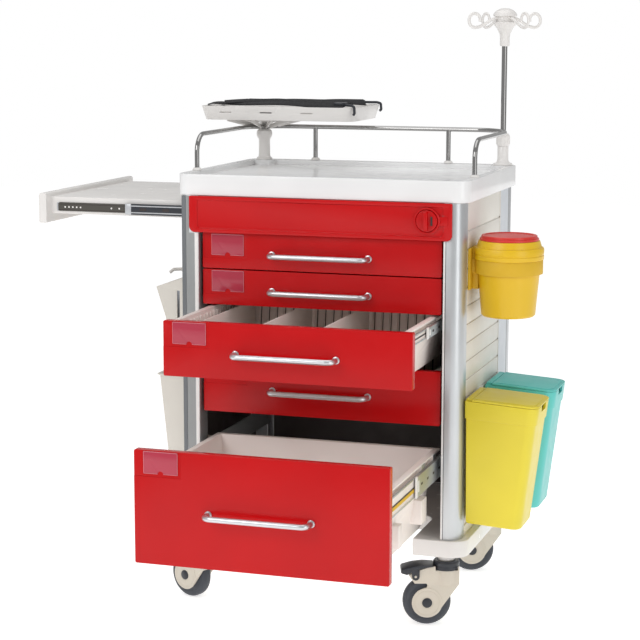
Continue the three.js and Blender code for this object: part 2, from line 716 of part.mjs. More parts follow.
// ---------------------------------------------------------------- side panels
// each carries the cabinet's half of the drawer slides on blocks
function sidePanel(side) {
  const top = side > 0 ? TOP_UNDER - FIT : LIP_BOTTOM - OVER;
  const y0 = PANEL_FRONT;
  const y1 = PANEL_BACK;
  let body = box(PANEL_INNER, COLUMN_OUTER, y0, y1, BASE_TOP + FIT, top);
  const grooves = [];
  for (let z = GROOVE_TOP; z > BASE_TOP + GROOVE_PITCH / 2; z -= GROOVE_PITCH) {
    if (z + GROOVE_WIDTH < top) {
      grooves.push(box(COLUMN_OUTER - GROOVE_DEPTH, COLUMN_OUTER + OVER, y0 - OVER, y1 + OVER,
        z - GROOVE_WIDTH / 2, z + GROOVE_WIDTH / 2));
    }
  }
  body = cut(body, grooves);
  const extra = [];
  for (const { slide, slideHeight } of drawers) {
    const low = slide - slideHeight / 2 - OUTER_TALLER;
    const high = slide + slideHeight / 2 + OUTER_TALLER;
    extra.push(box(OUTER_IN, OUTER_OUT, SLIDE_FRONT, SLIDE_FRONT + SLIDE_LENGTH, low, high));
    for (const y of [y0 + SLIDE_BLOCK_IN, y1 - SLIDE_BLOCK_IN - SLIDE_BLOCK]) {
      extra.push(box(OUTER_OUT - OVER, PANEL_INNER + OVER, y, y + SLIDE_BLOCK,
        low + SLIDE_BLOCK_LOW, high - SLIDE_BLOCK_LOW));
    }
  }
  if (side > 0) {
    extra.push(box(COLUMN_OUTER - OVER - GROOVE_DEPTH, BIN_BACK - 2 * FIT,
      y0 + BIN_RAIL_SHORT[0], y1 - BIN_RAIL_SHORT[1],
      BIN_RAIL_Z - BIN_RAIL_HEIGHT / 2, BIN_RAIL_Z + BIN_RAIL_HEIGHT / 2));
  }
  const whole = join(body, extra);
  return side > 0 ? whole : mirrored(whole);
}
add("side_panel_right", sidePanel(1), paint(CREAM, 0.42));
add("side_panel_left", sidePanel(-1), paint(CREAM, 0.42));

// ---------------------------------------------------------------- shelf places
const shelfSlideZ = SHELF_TOP - SHELF_THICK / 2 - SHELF_SLIDE_LOW;
const shelfEdges = [
  { at: SHELF_FRONT, way: -1 },
  { at: SHELF_BACK, way: 1 },
];
// a strip beside the shelf, a distance out from its edge
function shelfStrip({ at, way }, from, to, x0, x1, height) {
  const ys = [at + way * from, at + way * to].sort((a, b) => a - b);
  return box(x0, x1, ys[0], ys[1], shelfSlideZ - height / 2, shelfSlideZ + height / 2);
}
const shelfOuterX0 = -COLUMN_OUTER + SHELF_OUTER_IN;
const shelfOuterX1 = shelfOuterX0 + SHELF_SLIDE_LENGTH + SHELF_OUTER_MORE;
const shelfOuterFrom = MEMBER + MIDDLE + 2 * RUN;
// the cabinet's slide member on a front or back edge, with the blocks that carry it
function shelfOuter(edge, x0, y0, y1) {
  const rail = shelfStrip(edge, shelfOuterFrom, shelfOuterFrom + OUTER, x0, shelfOuterX1,
    SHELF_SLIDE_HEIGHT + 2 * SHELF_OUTER_TALLER);
  const places = [-COLUMN_INNER + SHELF_BLOCK_IN, 0, shelfOuterX1 - SHELF_BLOCK_IN - SLIDE_BLOCK];
  const blocks = places.map((x) => box(x, x + SLIDE_BLOCK, y0 - OVER, y1 + OVER,
    shelfSlideZ - SHELF_BLOCK_HALF, shelfSlideZ + SHELF_BLOCK_HALF));
  return [rail, ...blocks];
}

// ---------------------------------------------------------------- back panel
{
  const y1 = TOP_DEPTH - BACK_INSET;
  const sheet = box(-COLUMN_INNER + FIT, COLUMN_INNER - FIT, y1 - BACK_THICK, y1,
    BASE_TOP + FIT, TOP_UNDER - FIT);
  const rail = shelfOuter(shelfEdges[1], -COLUMN_INNER + FIT,
    SHELF_BACK + shelfOuterFrom + OUTER, y1 - BACK_THICK);
  add("back_panel", join(sheet, rail), paint(CREAM, 0.45));
}

// ---------------------------------------------------------------- fascia and lock
{
  const half = FASCIA_WIDTH / 2;
  const face = -FASCIA_PROUD;
  const skin = prism(
    roundRect(-half, half, FASCIA_BOTTOM, FASCIA_TOP,
      [FASCIA_CORNER, FASCIA_CORNER, FRONT_EDGE, FRONT_EDGE]),
    "y", face, -FIT);
  const core = box(-COLUMN_INNER + RUN, COLUMN_INNER - RUN, -FIT - OVER, FASCIA_BACK,
    FASCIA_BOTTOM, FASCIA_TOP);
  const floor = face + FASCIA_RECESS;
  const recess = prism(
    roundRect(-half + FASCIA_FRAME, half - FASCIA_FRAME,
      FASCIA_BOTTOM + FASCIA_EDGE, FASCIA_TOP - FASCIA_EDGE,
      [FASCIA_EDGE, FASCIA_EDGE, FRONT_EDGE, FRONT_EDGE]),
    "y", face - OVER, floor);
  const ringFace = face - KNOB_RING_PROUD;
  const ring = rod(KNOB_X, KNOB_Z, KNOB_RING, ringFace, floor + OVER, 20);
  const tabEnd = KNOB_X + KNOB_RING + KNOB_TAB;
  const tab = box(KNOB_X, tabEnd, ringFace, floor + OVER,
    KNOB_Z - KNOB_TAB_HEIGHT / 2, KNOB_Z + KNOB_TAB_HEIGHT / 2);
  const seat = rod(KNOB_X, KNOB_Z, KNOB_RADIUS + 2 * RUN, ringFace - OVER, floor, 20);
  const rail = shelfOuter(shelfEdges[0], -COLUMN_INNER + RUN,
    FASCIA_BACK, SHELF_FRONT - shelfOuterFrom - OUTER);
  const body = join(cut(join(cut(join(skin, core), recess), ring, tab), seat), rail);
  add("top_fascia", body, paint(RED, 0.3));

  const knobFace = face - KNOB_THICK;
  const knob = rod(KNOB_X, KNOB_Z, KNOB_RADIUS, knobFace, floor - FIT, 20);
  const gripHalf = KNOB_RADIUS - KNOB_GRIP_INSET;
  const grip = prism(
    roundRect(KNOB_X - KNOB_GRIP_WIDTH / 2, KNOB_X + KNOB_GRIP_WIDTH / 2,
      KNOB_Z - gripHalf, KNOB_Z + gripHalf, FRONT_EDGE),
    "y", knobFace - KNOB_GRIP, knobFace + OVER, 3);
  add("lock_knob", join(knob, grip), paint(RED, 0.3));
}

// ---------------------------------------------------------------- drawers
for (const drawer of drawers) {
  const { number, top, bottom, rim, slide, slideHeight, open } = drawer;
  const face = FRONT_CLOSED_Y - open;
  const back = face + FRONT_THICK;
  const half = FRONT_WIDTH / 2;

  // front: a pan with a return all round, open at the back
  const skin = prism(roundRect(-half, half, bottom, top, FRONT_EDGE), "y", face, back - FIT, 2);
  const pocket = box(-half + FRONT_SKIN, half - FRONT_SKIN, face + FRONT_SKIN, back + OVER,
    bottom + FRONT_SKIN, top - FRONT_SKIN);
  const boss = [-1, 1].map((s) => {
    const x = s * (HANDLE_LENGTH / 2 - HANDLE_RADIUS);
    return box(x - HANDLE_BOSS, x + HANDLE_BOSS, face + FRONT_SKIN - OVER, back - FIT,
      bottom + FRONT_SKIN - OVER, top - FRONT_SKIN + OVER);
  });
  add(`drawer_front_${number}`, join(cut(skin, pocket), boss), paint(RED, 0.26));

  // tray: leaning walls, a flat rim and the drawer's half of each slide
  const floor = bottom + TRAY_BELOW_FRONT;
  const leanIn = (rim - floor) * TRAY_DRAFT;
  const wallX = TRAY_SIDE - TRAY_RIM_WIDTH;
  const trayBack = back + TRAY_DEPTH;
  const wallBack = trayBack - TRAY_RIM_WIDTH;
  const centreY = (back + wallBack) / 2;
  const share = (z) => (rim - z) / (rim - floor);
  const leaning = (x, y, z) => [
    x - Math.sign(x) * leanIn * share(z),
    y > centreY ? y - leanIn * share(z) : y,
  ];
  const outer = lean(box(-wallX, wallX, back, wallBack, floor, rim), leaning);
  const inner = lean(box(-wallX + TRAY_WALL, wallX - TRAY_WALL, back + TRAY_WALL,
    wallBack - TRAY_WALL, floor, rim + 0.001), leaning);
  inner.translate(0, 0, TRAY_WALL);
  const rimPlate = box(-TRAY_SIDE, TRAY_SIDE, back, trayBack, rim - TRAY_RIM_THICK, rim);
  const pieces = [outer, rimPlate];
  for (const s of [-1, 1]) {
    const xs = [s * TRAY_SIDE, s * MEMBER_OUT].sort((a, b) => a - b);
    pieces.push(box(xs[0], xs[1], SLIDE_FRONT - open, SLIDE_FRONT - open + SLIDE_LENGTH,
      slide - slideHeight / 2, slide + slideHeight / 2));
    const webs = [s * (wallX - leanIn - OVER), s * (TRAY_SIDE + OVER)].sort((a, b) => a - b);
    const places = WEBS_FROM_BACK.map((from) => trayBack - from);
    for (const y of [SLIDE_FRONT - open + WEB_FROM_FRONT, ...places]) {
      pieces.push(box(webs[0], webs[1], y, y + WEB, slide - slideHeight / 2 + OUTER_TALLER,
        rim - TRAY_RIM_THICK + OVER));
    }
  }
  add(`drawer_tray_${number}`, cut(join(pieces), inner), paint(CREAM, 0.45));

  // handle: a bow whose ends turn back into the front
  const z = (top + bottom) / 2 + HANDLE_RISE;
  const hx = HANDLE_LENGTH / 2 - HANDLE_RADIUS;
  const path = new BentPath([
    new THREE.Vector3(-hx, face - FIT, z),
    new THREE.Vector3(-hx, face - HANDLE_STAND, z),
    new THREE.Vector3(hx, face - HANDLE_STAND, z),
    new THREE.Vector3(hx, face - FIT, z),
  ], HANDLE_BEND, 3);
  add(`drawer_handle_${number}`, tube(path, HANDLE_RADIUS, 8), paint(SILVER, 0.35, 0.85));

  // intermediate slide member on the right, half as far out as the drawer
  add(`drawer_slide_${number}`, box(MIDDLE_IN, MIDDLE_OUT,
    SLIDE_FRONT - open / 2, SLIDE_FRONT - open / 2 + SLIDE_LENGTH,
    slide - slideHeight / 2 - MIDDLE_TALLER, slide + slideHeight / 2 + MIDDLE_TALLER),
  paint(SILVER, 0.35, 0.85));
}

// ---------------------------------------------------------------- side shelf
{
  const lipIn = -COLUMN_OUTER - OVER - SHELF_OPEN;
  const lipOut = lipIn - LIP_THICK;
  const boardEnd = lipIn + SHELF_LENGTH;
  const board = box(lipIn - OVER, boardEnd, SHELF_FRONT, SHELF_BACK,
    SHELF_TOP - SHELF_THICK, SHELF_TOP);
  const under = box(lipIn + SHELF_SKIN, boardEnd - SHELF_SKIN, SHELF_FRONT + SHELF_SKIN,
    SHELF_BACK - SHELF_SKIN, SHELF_TOP - SHELF_THICK - OVER, SHELF_TOP - SHELF_SKIN);
  const ribs = [];
  for (let i = 1; i < SHELF_BAYS; i += 1) {
    const x = lipIn + (i * SHELF_LENGTH) / SHELF_BAYS;
    ribs.push(box(x, x + SHELF_SKIN, SHELF_FRONT + OVER, SHELF_BACK - OVER,
      SHELF_TOP - SHELF_THICK + SHELF_RIB_UP, SHELF_TOP - OVER));
  }
  const lip = prism(roundRect(lipOut, lipIn, LIP_BOTTOM, LIP_TOP, [4, 3, 5, 8]),
    "y", LIP_INSET, TOP_DEPTH - LIP_INSET, 3);
  const memberX = lipIn + SHELF_SLIDE_IN;
  const members = shelfEdges.map((edge) => shelfStrip(edge, -OVER, MEMBER,
    memberX, memberX + SHELF_SLIDE_LENGTH, SHELF_SLIDE_HEIGHT));
  add("shelf_board", join(cut(board, under), ribs, lip, members), paint(WHITE, 0.35));

  const middleX = shelfOuterX0 + SHELF_MIDDLE_IN - SHELF_OPEN / 2;
  add("shelf_slide", shelfStrip(shelfEdges[0], MEMBER + RUN, MEMBER + RUN + MIDDLE,
    middleX, middleX + SHELF_SLIDE_LENGTH, SHELF_SLIDE_HEIGHT + 2 * SHELF_MIDDLE_TALLER),
  paint(SILVER, 0.35, 0.85));
}

// ---------------------------------------------------------------- guard rail
{
  const z = TOP_HEIGHT + RAIL_HEIGHT;
  const foot = TOP_HEIGHT + FIT;
  const path = new BentPath([
    new THREE.Vector3(-RAIL_X, RAIL_FRONT, foot),
    new THREE.Vector3(-RAIL_X, RAIL_FRONT, z),
    new THREE.Vector3(-RAIL_X, RAIL_BACK, z),
    new THREE.Vector3(RAIL_X, RAIL_BACK, z),
    new THREE.Vector3(RAIL_X, RAIL_FRONT, z),
    new THREE.Vector3(RAIL_X, RAIL_FRONT, foot),
  ], [RAIL_BEND, RAIL_CORNER, RAIL_CORNER, RAIL_BEND], 5);
  const posts = [-1, 1].map((s) => disc(s * RAIL_POST_X, RAIL_BACK, RAIL_RADIUS, foot, z, 8));
  add("guard_rail", join(tube(path, RAIL_RADIUS, 8), posts), paint(CHROME, 0.16, 1));
}

// ---------------------------------------------------------------- drip stand
{
  const low = TOP_HEIGHT + FIT;
  const bore = disc(POLE_X, POLE_Y, POLE_RADIUS + RUN, low - OVER,
    low + SOCKET_HEIGHT + OVER, 16);
  const flange = low + SOCKET_FLANGE_THICK;
  const body = turned([
    [0, low], [SOCKET_FLANGE, low], [SOCKET_FLANGE, flange], [SOCKET_RADIUS + 3, flange + 2],
    [SOCKET_RADIUS, flange + 9], [SOCKET_RADIUS, low + SOCKET_HEIGHT], [0, low + SOCKET_HEIGHT],
  ], POLE_X, POLE_Y, 16);
  add("iv_socket", cut(body, bore), paint(WHITE, 0.3));

  const nutLow = low + SOCKET_HEIGHT + FIT;
  const r = NUT_RADIUS;
  const nut = turned([
    [0, nutLow], [r - 2.5, nutLow], [r - 0.5, nutLow + 5], [r, nutLow + 12],
    [r - 1, nutLow + NUT_HEIGHT - 4], [r - 4, nutLow + NUT_HEIGHT], [0, nutLow + NUT_HEIGHT],
  ], POLE_X, POLE_Y, 16);
  const nutBore = disc(POLE_X, POLE_Y, POLE_RADIUS + RUN, nutLow - OVER,
    nutLow + NUT_HEIGHT + OVER, 16);
  add("iv_collar_nut", cut(nut, nutBore), paint(WHITE, 0.3));

  add("iv_pole", disc(POLE_X, POLE_Y, POLE_RADIUS, TOP_HEIGHT - POLE_SUNK, POLE_TOP, 16),
    paint(CHROME, 0.14, 1));

  const h = POLE_TOP + FIT;
  const wide = HEAD_RADIUS;
  const mid = h + HOOK_HEIGHT;
  const end = h + HEAD_HEIGHT;
  const head = turned([
    [0, h], [HEAD_NECK, h], [HEAD_NECK, mid - 34], [wide, mid - 8], [wide, mid - 4],
    [HEAD_WAIST, mid + 1], [HEAD_WAIST, end - 16], [wide - 1, end - 11], [wide - 1, end - 8],
    [HEAD_WAIST - 2, end - 1], [0, end],
  ], POLE_X, POLE_Y, 16);
  const hooks = [];
  for (let i = 0; i < HOOK_COUNT; i += 1) {
    const angle = (HOOK_TURN * Math.PI) / 180 + (i * 2 * Math.PI) / HOOK_COUNT;
    const at = (r, z) => new THREE.Vector3(
      POLE_X + r * Math.cos(angle), POLE_Y + r * Math.sin(angle), z);
    const c = HOOK_REACH;
    const k = HOOK_CURL;
    const path = new BentPath([
      at(HOOK_ROOT, mid + 5), at(c - 2 * k, mid + 2), at(c - k, mid - k), at(c + k, mid - k),
      at(c + k, mid + k), at(c - k, mid + k), at(c - k * 0.75, mid + 3),
    ], [8, 8, 14, 14, 7], 2);
    hooks.push(tube(path, HOOK_ROD, 5));
  }
  add("iv_hook_head", join(head, hooks), paint(WHITE, 0.3));
}

// ---------------------------------------------------------------- defibrillator tray
{
  const low = TOP_HEIGHT + FIT;
  const top = low + DEFIB_POST_HEIGHT;
  const flange = low + DEFIB_FLANGE_THICK;
  const collar = top - DEFIB_COLLAR_HEIGHT;
  const post = turned([
    [0, low], [DEFIB_FLANGE, low], [DEFIB_FLANGE, flange], [DEFIB_NECK + 2, flange + 2],
    [DEFIB_NECK, flange + 6], [DEFIB_NECK, collar], [DEFIB_COLLAR - 3, collar + 3],
    [DEFIB_COLLAR, collar + 9], [DEFIB_COLLAR, top - 6], [DEFIB_COLLAR - 3, top], [0, top],
  ], DEFIB_X, DEFIB_Y, 16);
  const pinEnd = top - DEFIB_PIN_DEPTH;
  const bore = disc(DEFIB_X, DEFIB_Y, DEFIB_PIN + RUN, pinEnd - 2 * OVER, top + OVER, 16);
  add("defib_post", cut(post, bore), paint(WHITE, 0.3));

  const tray = new THREE.Group();
  tray.position.set(DEFIB_X, DEFIB_Y, 0);
  const x0 = DEFIB_SHIFT_X - DEFIB_WIDTH / 2;
  const x1 = DEFIB_SHIFT_X + DEFIB_WIDTH / 2;
  const y = DEFIB_DEPTH / 2;
  const flare = (x, yy, z) => {
    const t = (DEFIB_TOP - z) / (DEFIB_TOP - DEFIB_BOTTOM);
    const rx = (x - DEFIB_SHIFT_X) / (DEFIB_WIDTH / 2);
    const ry = yy / y;
    return [x - rx * DEFIB_FLARE * t, yy - ry * DEFIB_FLARE * t];
  };
  const outer = lean(prism(roundRect(x0, x1, -y, y, DEFIB_CORNER), "z", DEFIB_BOTTOM, DEFIB_TOP, 3),
    flare);
  const w = DEFIB_WALL;
  const dish = lean(prism(roundRect(x0 + w, x1 - w, -y + w, y - w, DEFIB_CORNER - w), "z",
    DEFIB_TOP - DEFIB_DISH, DEFIB_TOP + 0.001, 3), flare);
  const floor = DEFIB_TOP - DEFIB_DISH;
  const under = lean(prism(roundRect(x0 + w, x1 - w, -y + w, y - w, DEFIB_CORNER - w), "z",
    DEFIB_BOTTOM - OVER, floor - w, 3), flare);
  // a cone under the tray, its sleeve seated on the post's collar, and the pin in the post
  const hub = turned([
    [0, pinEnd], [DEFIB_PIN, pinEnd], [DEFIB_PIN, top + FIT], [DEFIB_SLEEVE, top + FIT],
    [DEFIB_SLEEVE, DEFIB_BOTTOM - DEFIB_CONE_DEPTH], [DEFIB_NECK, DEFIB_BOTTOM - DEFIB_CONE_DEPTH],
    [DEFIB_CONE, DEFIB_BOTTOM + 2],
    [DEFIB_CONE, DEFIB_BOTTOM + 6], [DEFIB_CONE_TOP, floor - OVER], [0, floor - OVER],
  ], 0, 0, 16);
  const slots = [-1, 0, 1].map((i) => {
    const x = DEFIB_SHIFT_X + DEFIB_SLOT_SHIFT + i * DEFIB_SLOT_PITCH;
    const z = DEFIB_TOP - DEFIB_SLOT_DOWN;
    return box(x - DEFIB_SLOT_LENGTH / 2, x + DEFIB_SLOT_LENGTH / 2,
      -y - OVER, -y + DEFIB_FLARE + 2 * w, z - DEFIB_SLOT_HEIGHT, z);
  });
  add("defib_tray", cut(join(cut(outer, dish, under), hub), slots), paint(WHITE, 0.32), tray);

  const straps = roundRect(x0 - STRAP_OVER, x1 + STRAP_OVER, -STRAP_WIDTH / 2, STRAP_WIDTH / 2,
    STRAP_CORNER);
  add("defib_straps", prism(straps, "z", DEFIB_TOP + FIT, DEFIB_TOP + FIT + STRAP_THICK, 3),
    paint(DARK, 0.8), tray);
  cart.add(tray);
}

// ---------------------------------------------------------------- sharps container
{
  const x = SHARPS_X;
  const y = SHARPS_Y;
  const ring = turned([
    [SHARPS_RING, SHARPS_RING_LOW], [SHARPS_RING + SHARPS_RING_WALL, SHARPS_RING_LOW],
    [SHARPS_RING + SHARPS_RING_WALL, SHARPS_RING_TOP], [SHARPS_RING, SHARPS_RING_TOP],
    [SHARPS_RING, SHARPS_RING_LOW],
  ], x, y, 20);
  const plateTop = SHARPS_RING_TOP + SHARPS_PLATE_UP;
  const plate = box(WALL, WALL + SHARPS_PLATE_THICK,
    y - SHARPS_PLATE_WIDTH / 2, y + SHARPS_PLATE_WIDTH / 2, plateTop - SHARPS_PLATE_HEIGHT, plateTop);
  const arm = cut(box(WALL + SHARPS_PLATE_THICK - OVER, x - SHARPS_RING + SHARPS_ARM_BITE,
    y - SHARPS_ARM / 2, y + SHARPS_ARM / 2, SHARPS_RING_LOW, SHARPS_RING_TOP),
  disc(x, y, SHARPS_RING + RUN, SHARPS_RING_LOW - OVER, SHARPS_RING_TOP + OVER, 20));
  add("sharps_bracket", join(ring, plate, arm), paint(YELLOW, 0.4));

  const seat = SHARPS_RING_TOP + FIT;
  const neck = seat + SHARPS_LIP_HEIGHT;
  const top = neck + SHARPS_NECK_HEIGHT;
  const w = SHARPS_WALL;
  const bucket = turned([
    [0, SHARPS_BOTTOM], [SHARPS_FOOT, SHARPS_BOTTOM], [SHARPS_SEAT, seat], [SHARPS_LIP, seat],
    [SHARPS_LIP, neck - 3], [SHARPS_LIP - 3, neck], [SHARPS_LID + 6, neck], [SHARPS_LID + 2, top],
    [SHARPS_MOUTH, top], [SHARPS_MOUTH, top - w], [SHARPS_LID, top - w], [SHARPS_LID, neck - w],
    [SHARPS_SEAT - w, seat], [SHARPS_FOOT - w, SHARPS_BOTTOM + w], [0, SHARPS_BOTTOM + w],
  ], x, y, 20);
  add("sharps_bucket", bucket, paint(YELLOW, 0.35));

  const low = top + FIT;
  const lid = turned([
    [0, low], [SHARPS_LID, low], [SHARPS_LID, low + SHARPS_LID_HEIGHT - 3],
    [SHARPS_LID - 4, low + SHARPS_LID_HEIGHT], [0, low + SHARPS_LID_HEIGHT],
  ], x, y, 20);
  add("sharps_lid", lid, paint(RED, 0.35));
}

// ---------------------------------------------------------------- waste bins
BIN_Y.forEach((y, i) => {
  const bin = new THREE.Group();
  bin.position.set(BIN_BACK, y, BIN_TOP);
  bin.rotation.y = (BIN_TILT * Math.PI) / 180;
  const half = BIN_WIDTH / 2;
  // the wall side leans as much as the bin tilts, so it hangs upright against the panel
  const taperIn = BIN_HEIGHT * Math.tan(bin.rotation.y);
  const taper = (x, yy, z) => {
    const t = -z / BIN_HEIGHT;
    const along = x / BIN_LENGTH;
    return [
      x + t * (taperIn * (1 - along) - BIN_TAPER_X * along),
      yy - (yy / half) * BIN_TAPER_Y * t,
    ];
  };
  const corners = [BIN_WALL_CORNER, BIN_CORNER, BIN_CORNER, BIN_WALL_CORNER];
  const w = BIN_WALL;
  const p = BIN_BAND_PROUD;
  const outline = (inset) => roundRect(inset, BIN_LENGTH - inset, -half + inset, half - inset,
    corners.map((r) => Math.max(r - inset, 1)));
  const shell = lean(prism(outline(p), "z", -BIN_HEIGHT, OVER - BIN_BAND, 3), taper);
  const band = lean(prism(outline(0), "z", -BIN_BAND, -BIN_LID - FIT, 3), taper);
  const inside = lean(prism(outline(p + w), "z", -BIN_HEIGHT + w, OVER, 3), taper);
  const strip = box(p, BIN_HINGE - RUN, -half + BIN_STRIP_INSET, half - BIN_STRIP_INSET,
    -BIN_STRIP_THICK, 0);
  const notch = box(BIN_LENGTH - BIN_HINGE, BIN_LENGTH + OVER, -BIN_NOTCH / 2, BIN_NOTCH / 2,
    -BIN_LID - BIN_NOTCH_DEPTH, OVER);
  const name = ["yellow", "teal"][i];
  const color = [YELLOW, TEAL][i];
  add(`${name}_bin`, join(cut(join(shell, band), inside, notch), strip), paint(color, 0.4), bin);

  const lidShape = roundRect(BIN_HINGE, BIN_LENGTH, -half, half, [2, BIN_CORNER, BIN_CORNER, 2]);
  const top = prism(lidShape, "z", -BIN_LID, 0, 3);
  add(`${name}_bin_lid`, top, paint(color, 0.36), bin);
  cart.add(bin);
});

// ---------------------------------------------------------------- side baskets
const BASKET_BACK = BASKET_FRONT + BASKET_LENGTH;
// an open-topped hopper against a side panel, from its section in X and Z
function hopper({ height, frontLower, reach, foot }, low) {
  const w = BASKET_WALL;
  const high = low + height;
  const front = high - frontLower;
  const section = polygon([
    [WALL, low], [WALL + foot, low], [WALL + reach, front], [WALL, high],
  ]);
  const hollow = polygon([
    [WALL + w, low + w], [WALL + foot - w, low + w], [WALL + reach - w, front],
    [WALL + reach - w, high + OVER], [WALL + w, high + OVER],
  ]);
  return cut(prism(section, "y", BASKET_FRONT, BASKET_BACK),
    prism(hollow, "y", BASKET_FRONT + w, BASKET_BACK - w));
}
{
  const low = BASE_TOP + BOX.up + BOX.height + BASKET.up;
  const { pitch, width, inset } = BASKET_SLOTS;
  const ends = BASKET_END_SLOTS;
  const slots = [];
  for (let y = BASKET_FRONT + inset; y < BASKET_BACK - inset; y += pitch) {
    slots.push(box(WALL + BASKET.foot / 2, WALL + BASKET.reach + OVER, y, y + width,
      low + BASKET_SLOTS.low, low + BASKET_SLOTS.high));
  }
  for (let x = WALL + ends.inset; x < WALL + BASKET.foot - ends.width; x += ends.pitch) {
    slots.push(box(x, x + ends.width, BASKET_FRONT - OVER, BASKET_FRONT + BASKET_WALL + OVER,
      low + BASKET_SLOTS.low, low + ends.high));
  }
  add("left_basket", mirrored(cut(hopper(BASKET, low), slots)), paint(WHITE, 0.45));
}
{
  const low = BASE_TOP + BOX.up;
  const edge = low + BOX.height - BOX.frontLower;
  const lipBottom = edge - BOX_LIP_THICK;
  const lip = join(
    box(WALL + BOX.reach - OVER, WALL + BOX.reach + BOX_LIP, BASKET_FRONT, BASKET_BACK,
      lipBottom, edge),
    box(WALL, WALL + BOX.reach, BASKET_FRONT - BOX_LIP, BASKET_FRONT + OVER, lipBottom, edge));
  add("left_box", mirrored(join(hopper(BOX, low), lip)), paint(WHITE, 0.4));
}

// ---------------------------------------------------------------- casters
// built with the swivel axis at X = Y = 0 and the wheel trailing towards -X
function forkSide() {
  const hub = { x: -WHEEL_TRAIL, z: WHEEL_RADIUS };
  const low = FORK_TOP - FORK_SIDE;
  const shape = new THREE.Shape();
  shape.moveTo(FORK_BODY, FORK_TOP);
  shape.lineTo(-FORK_BODY, FORK_TOP);
  shape.quadraticCurveTo(-HOOD_REACH + 28, FORK_TOP - 3, -HOOD_REACH, FORK_TOP - HOOD_DROP);
  shape.lineTo(-HOOD_REACH + 12, low + 3);
  shape.lineTo(hub.x - 2, low + 3);
  shape.quadraticCurveTo(hub.x + 3, low - 1, hub.x - 2, hub.z + HUB_COVER);
  shape.absarc(hub.x, hub.z, HUB_COVER, 0.55 * Math.PI, 1.86 * Math.PI, false);
  shape.lineTo(FORK_BODY, low + 2);
  return shape;
}
const fork = () => {
  const side = prism(forkSide(), "y", -FORK_HALF, FORK_HALF, 4);
  const gap = FORK_HALF - FORK_CHEEK;
  const arch = rod(-WHEEL_TRAIL, WHEEL_RADIUS, WHEEL_RADIUS + ARCH_CLEAR, -gap, gap, 20);
  const round = disc(0, 0, FORK_BODY, FORK_TOP - FORK_SIDE, FORK_TOP, 16);
  const stem = disc(0, 0, STEM_RADIUS, FORK_TOP - OVER, STEM_TOP, 12);
  const neck = disc(0, 0, BUSH_RADIUS - 2, FORK_TOP - OVER, BASE_BOTTOM - BUSH_HEIGHT - FIT, 12);
  const axle = rod(-WHEEL_TRAIL, WHEEL_RADIUS, AXLE_RADIUS, -gap - OVER, gap + OVER, 12);
  return join(cut(join(side, round), arch), stem, neck, axle);
};
const pinHalf = FORK_HALF + RUN + PEDAL_EAR_THICK + RUN;
const brakePin = () => rod(PIN_X, PIN_Z, PIN_RADIUS, -pinHalf, pinHalf, 8);

function wheel() {
  const r = WHEEL_RADIUS;
  const half = WHEEL_WIDTH / 2;
  const bore = AXLE_RADIUS + RUN;
  const geometry = new THREE.LatheGeometry([
    [bore, -half], [r - TYRE_CHAMFER, -half], [r, -half + TYRE_CHAMFER],
    [r, half - TYRE_CHAMFER], [r - TYRE_CHAMFER, half], [bore, half], [bore, -half],
  ].map(([a, b]) => new THREE.Vector2(a, b)), 24);
  geometry.translate(-WHEEL_TRAIL, 0, r);
  return geometry;
}
// a curved plate over the hood, with an ear on each side that turns on the pin
function pedal() {
  const inner = -PEDAL_HINGE;
  const outer = -PEDAL_REACH;
  const tip = FORK_TOP - PEDAL_DROP;
  const outline = new THREE.Shape();
  outline.moveTo(inner + 2, FORK_TOP + OVER);
  outline.quadraticCurveTo((inner + outer) / 2, FORK_TOP + PEDAL_RISE, outer, tip);
  outline.quadraticCurveTo(outer - 5, tip - 4, outer - 1, tip - 8);
  outline.lineTo(outer + 10, tip - PEDAL_THICK);
  outline.quadraticCurveTo(outer + 36, FORK_TOP - 1, inner, FORK_TOP + FIT);
  const side = FORK_HALF + RUN + PEDAL_EAR_THICK;
  const plate = prism(outline, "y", -side, side, 3);
  const ears = [-1, 1].map((s) => {
    const ys = [s * (FORK_HALF + RUN), s * side].sort((a, b) => a - b);
    return cut(
      join(rod(PIN_X, PIN_Z, PEDAL_EAR, ys[0], ys[1], 10),
        box(PIN_X - PEDAL_EAR, PIN_X + PEDAL_EAR, ys[0], ys[1], PIN_Z, tip - OVER)),
      rod(PIN_X, PIN_Z, PIN_RADIUS + RUN, ys[0] - OVER, ys[1] + OVER, 8));
  });
  return join(plate, ears);
}

for (const [name, { side, y, turn, brake }] of Object.entries(CASTERS)) {
  const caster = new THREE.Group();
  caster.position.set(side * CASTER_X, y, 0);
  caster.rotation.z = (turn * Math.PI) / 180;
  const body = brake ? join(fork(), brakePin()) : fork();
  add(`caster_fork_${name}`, body, paint(BEIGE, 0.4), caster);
  add(`caster_wheel_${name}`, wheel(), paint(DARK, 0.6), caster);
  if (brake) add(`brake_pedal_${name}`, pedal(), paint(DARK, 0.5), caster);
  cart.add(caster);
}

// ---------------------------------------------------------------- origin
const bounds = new THREE.Box3().setFromObject(cart);
const middle = bounds.getCenter(new THREE.Vector3());
cart.position.set(-middle.x, -middle.y, -bounds.min.z);
cart.updateMatrixWorld(true);

export default cart;
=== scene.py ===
"""The looks of a hospital crash cart: open drawers, side shelf, defibrillator tray, drip pole,
sharps container, waste bins, side baskets and casters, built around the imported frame.

Shapes are written in millimetres in the cart's own frame: X = 0 is the cart's middle, Y = 0 the
worktop's front face and Z = 0 the floor. cart() turns them into metres in the shared frame."""

import json
import math

import bmesh
import bpy
from mathutils import Matrix, Vector


